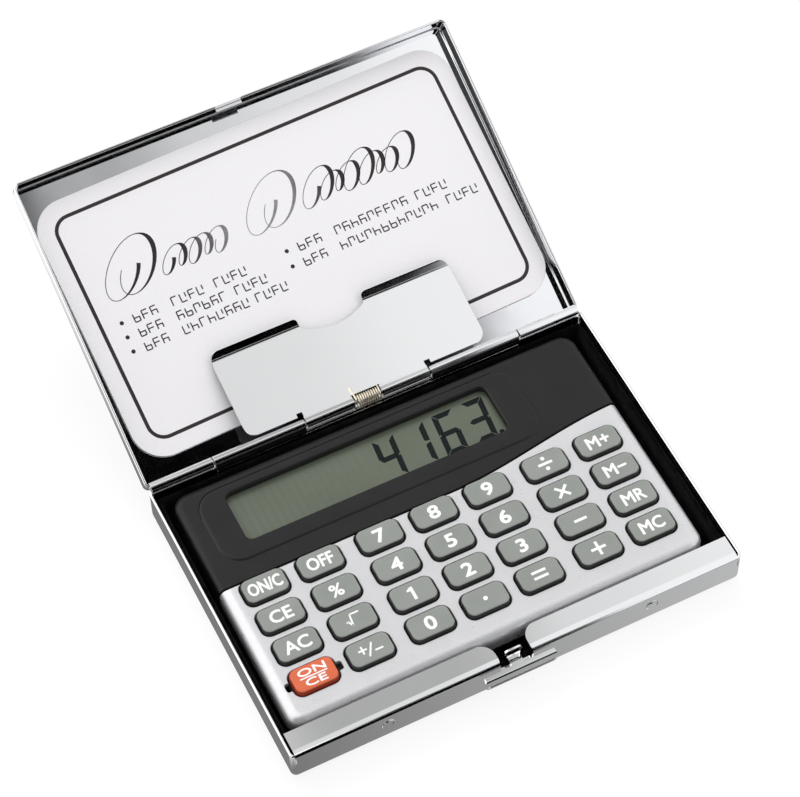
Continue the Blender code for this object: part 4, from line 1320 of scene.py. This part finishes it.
DIGIT_W = 4.4
DIGIT_H = 9.5
DIGIT_FOOT = 13.75
DIGIT_SLANT = 0.11
DIGIT_PITCH = 6.33
LAST_DIGIT_X = 17.35
SEGMENT_W = 1.12
SHOWN = "4163"
SEGMENTS = {
    "0": "abcdef", "1": "bc", "2": "abged", "3": "abgcd", "4": "fgbc",
    "5": "afgcd", "6": "afgedc", "7": "abc", "8": "abcdefg", "9": "abcdfg",
}


def segment_outline(kind):
    """One seven-segment bar about the digit's centre, before the slant."""
    w, h, t = DIGIT_W / 2, DIGIT_H / 2, SEGMENT_W
    gap = 0.12
    if kind in "adg":
        y = {"a": h, "d": -h, "g": 0.0}[kind]
        if kind == "g":
            tip = w - gap - 0.1
            shoulder = w - t * 0.6 - gap
            upper = [(-tip, 0), (-shoulder, t / 2), (shoulder, t / 2), (tip, 0)]
            return upper + [(shoulder, -t / 2), (-shoulder, -t / 2)]
        inner = y - math.copysign(t, y)
        return [(-w + gap, y), (w - gap, y), (w - t - gap * 0.4, inner), (-w + t + gap * 0.4, inner)]
    side = 1 if kind in "bc" else -1
    half = 1 if kind in "bf" else -1
    x0, x1 = side * w, side * (w - t)
    waist = half * (t / 2 + gap)
    outside = [(x0, half * (h - gap)), (x0, half * (gap + 0.05)), (x1 + side * 0.2, waist * 0.55)]
    return outside + [(x1, waist), (x1, half * (h - t - gap * 0.6))]


def make_display():
    """The display cell: bevelled glass over the panel with its dark seven-segment figures."""
    x0, y0, z0 = LCD_LOW
    x1, y1, z1 = LCD_HIGH
    rings = []
    for inset, z in ((0.1, z0), (0.0, z0 + 0.1), (0.0, z1 - 0.15), (0.05, z1 - 0.04), (0.15, z1)):
        outline = rounded_rect(x0 + inset, y0 + inset, x1 - inset, y1 - inset, 0.5, 4)
        rings.append([(x, y, z) for x, y in outline])
    glass = loft("glass", rings, LCD)
    marks = []
    for place, figure in enumerate(SHOWN):
        centre = LAST_DIGIT_X - DIGIT_PITCH * (3 - place)
        for kind in SEGMENTS[figure]:
            points = []
            for x, y in segment_outline(kind):
                points.append((centre + x + DIGIT_SLANT * y, DIGIT_FOOT + DIGIT_H / 2 + y))
            marks.append(plate("segment", points, z1 - 0.03, z1 + 0.015, SEGMENT))
    dot_x = LAST_DIGIT_X + DIGIT_W / 2 + 0.95 - DIGIT_SLANT * DIGIT_H / 2
    dot = circle(0.5, 16, dot_x, DIGIT_FOOT + 0.45)
    marks.append(plate("point", dot, z1 - 0.03, z1 + 0.015, SEGMENT))
    display = joined("display", [glass, *marks])
    smooth(display, 0.0, 40)
    mount(display, "base", "lcd_glass", "lcd_panel")


# ---------------------------------------------------------------- carried-over pieces


def finish_inner_parts():
    finishes = {
        "rear_cover": BLACK,
        "battery_door": BLACK,
        "adhesive_pad": FOAM,
        "circuit_board": BOARD,
        "chip_cover": EPOXY,
        "key_membrane": RUBBER,
        "lcd_reflector": REFLECTOR,
        "zebra_strip": RUBBER,
        "button_cell": STEEL,
        "cell_contact_minus": STEEL,
        "cell_contact_plus": STEEL,
    }
    for i in range(1, 5):
        finishes[f"case_screw_{i}"] = STEEL
    for name, material in finishes.items():
        node = frame["nodes"][name]
        node.data.materials.clear()
        node.data.materials.append(material)


# ---------------------------------------------------------------- studio


def make_floor():
    """A pale sweep that glows near white to the camera. Polished metal sees a painted reflection of it: a
    grey glow, lighter to the right and white at the far left.
    """
    size = 2.0
    mesh = bpy.data.meshes.new("floor")
    corners = [(-size, -size, 0), (size, -size, 0), (size, size, 0), (-size, size, 0)]
    mesh.from_pydata(corners, [], [(0, 1, 2, 3)])
    floor = bpy.data.objects.new("floor", mesh)
    floor.location.z = -0.0002
    bpy.context.scene.collection.objects.link(floor)
    material, tree, shader = nodes_of("floor", (0.85, 0.85, 0.86), 0.8)
    paths = add(tree, "LightPath").outputs
    x = split_xyz(tree, add(tree, "TexCoord").outputs["Object"])["X"]
    # For glossy rays the floor glows grey: a painted reflection, lighter to the right and white past its left
    # edge.
    shade = spread(tree, x, -0.045, 0.045, 0.2, 0.5)
    beside = spread(tree, x, -0.052, -0.047, 1.0, 0.0, True)
    glow = add(tree, "Emission", {"Strength": 1.05})
    painted_reflection = add(tree, "Emission", {"Strength": blend_values(tree, beside, shade, 1.0)})
    seen = mix_shaders(tree, 0.8, shader, glow)
    lit = mix_shaders(tree, paths["Is Glossy Ray"], shader, painted_reflection)
    final = mix_shaders(tree, paths["Is Camera Ray"], lit, seen)
    feed(tree, tree.nodes["Material Output"], {"Surface": final.outputs[0]})
    mesh.materials.append(material)


# What polished metal mirrors in the far, overhead and near parts of the tent: (direction x, brightness)
FAR_TENT = ((0.1, 1.0), (0.15, 0.66), (0.178, 0.42), (0.225, 0.44), (0.265, 0.74), (0.33, 0.88))
OVERHEAD_TENT = ((0.1, 0.95), (0.17, 0.74), (0.21, 0.77), (0.26, 0.9), (0.33, 0.97))
NEAR_TENT = ((0.12, 0.03), (0.15, 0.06), (0.158, 0.52), (0.178, 0.4))
NEAR_TENT += ((0.19, 0.44), (0.205, 0.64), (0.25, 0.8), (0.3, 1.0))
RAMP_LOW = -0.3
RAMP_HIGH = 0.4


def grey_ramp(tree, along, stops):
    """A ramp over mirrored x directions. The stops are (direction x, brightness)."""
    node = add(tree, "ValToRGB", {"Fac": along})
    node.color_ramp.interpolation = "EASE"
    elements = node.color_ramp.elements
    while len(elements) < len(stops):
        elements.new(0.5)
    for element, (where, value) in zip(elements, stops):
        element.position = (where - RAMP_LOW) / (RAMP_HIGH - RAMP_LOW)
        element.color = (value, value, value, 1.0)
    return node.outputs["Color"]


def make_world():
    """A white tent for diffuse light; what polished metal mirrors is a tent with dark gaps."""
    world = bpy.data.worlds.new("studio")
    bpy.context.scene.world = world
    world.use_nodes = True
    tree = world.node_tree
    tree.nodes.clear()
    split = split_xyz(tree, add(tree, "TexCoord").outputs["Generated"])
    x, y, z = split["X"], split["Y"], split["Z"]
    along = spread(tree, x, RAMP_LOW, RAMP_HIGH, 0.0, 1.0)
    far = grey_ramp(tree, along, FAR_TENT)
    overhead = grey_ramp(tree, along, OVERHEAD_TENT)
    near = grey_ramp(tree, along, NEAR_TENT)
    level = blend_values(tree, spread(tree, y, 0.12, 0.4, 0.0, 1.0, True), overhead, far)
    level = blend_values(tree, spread(tree, y, -0.19, -0.1, 1.0, 0.0, True), level, near)
    left = spread(tree, x, 0.262, 0.285, 1.0, 0.0, True)
    unlit = maths(tree, "MULTIPLY", left, spread(tree, y, -0.26, -0.23, 1.0, 0.0, True))
    strip_near = spread(tree, y, -0.5, -0.47, 0.0, 0.8, True)
    glint = maths(tree, "MULTIPLY", strip_near, spread(tree, y, -0.47, -0.44, 1.0, 0.0, True))
    level = maths(tree, "MULTIPLY", level, maths(tree, "SUBTRACT", 1.0, unlit))
    level = maths(tree, "ADD", level, maths(tree, "MULTIPLY", unlit, glint))
    skyline = spread(tree, z, 0.08, 0.26, 0.0, 1.0, True)
    horizon = blend_values(tree, spread(tree, x, -0.2, 0.1, 0.0, 1.0, True), 1.0, skyline)
    level = maths(tree, "MULTIPLY", level, horizon)
    level = maths(tree, "MULTIPLY", level, spread(tree, x, -0.15, 0.1, 1.6, 1.0, True))
    cool = spread(tree, y, -0.3, -0.1, 1.0, 0.0, True)
    tint = blend_colours(tree, cool, (1.0, 1.0, 1.0), (0.96, 0.975, 1.0))
    strength = spread(tree, y, -0.6, 0.5, 0.7, 1.22, True)
    mirrored = add(tree, "Background", {"Color": tint, "Strength": level})
    soft = add(tree, "Background", {"Color": (1.0, 1.0, 1.0), "Strength": strength})
    white = add(tree, "Background", {"Color": (1.0, 1.0, 1.0), "Strength": 1.0})
    paths = add(tree, "LightPath").outputs
    indirect = mix_shaders(tree, paths["Is Glossy Ray"], soft, mirrored)
    final = mix_shaders(tree, paths["Is Camera Ray"], indirect, white)
    feed(tree, add(tree, "OutputWorld"), {"Surface": final.outputs[0]})


def make_lamp(name, place, size, watts):
    lamp = bpy.data.lights.new(name, "AREA")
    lamp.size = size
    lamp.energy = watts
    obj = bpy.data.objects.new(name, lamp)
    obj.location = place
    obj.rotation_euler = (-Vector(place)).to_track_quat("-Z", "Y").to_euler()
    obj.visible_glossy = False
    bpy.context.scene.collection.objects.link(obj)


def make_camera():
    camera = bpy.data.cameras.new("camera")
    camera.lens = 132.02
    camera.sensor_width = 36.0
    camera.clip_start = 0.01
    obj = bpy.data.objects.new("camera", camera)
    ahead = Vector((0.24086, 0.50644, -0.82795)).normalized()
    up = Vector((0.37737, 0.73707, 0.56064))
    up = (up - ahead * up.dot(ahead)).normalized()
    right = ahead.cross(up)
    turn = Matrix((right, up, -ahead)).transposed().to_4x4()
    obj.matrix_world = Matrix.Translation((-0.12944, -0.25514, 0.47158)) @ turn
    bpy.context.scene.collection.objects.link(obj)
    bpy.context.scene.camera = obj


def build():
    make_case_base()
    make_liner()
    make_hinge()
    make_case_lid()
    make_card()
    make_flap()
    make_spring()
    make_latch()
    make_housing()
    make_keypad()
    make_keys()
    make_display()
    finish_inner_parts()
    make_floor()
    make_world()
    make_lamp("back_light", (0.05, 0.32, 0.38), 0.2, 0.65)
    make_lamp("side_light", (0.35, -0.1, 0.4), 0.25, 0.28)
    make_camera()
    bpy.context.scene.view_settings.view_transform = "Standard"


build()
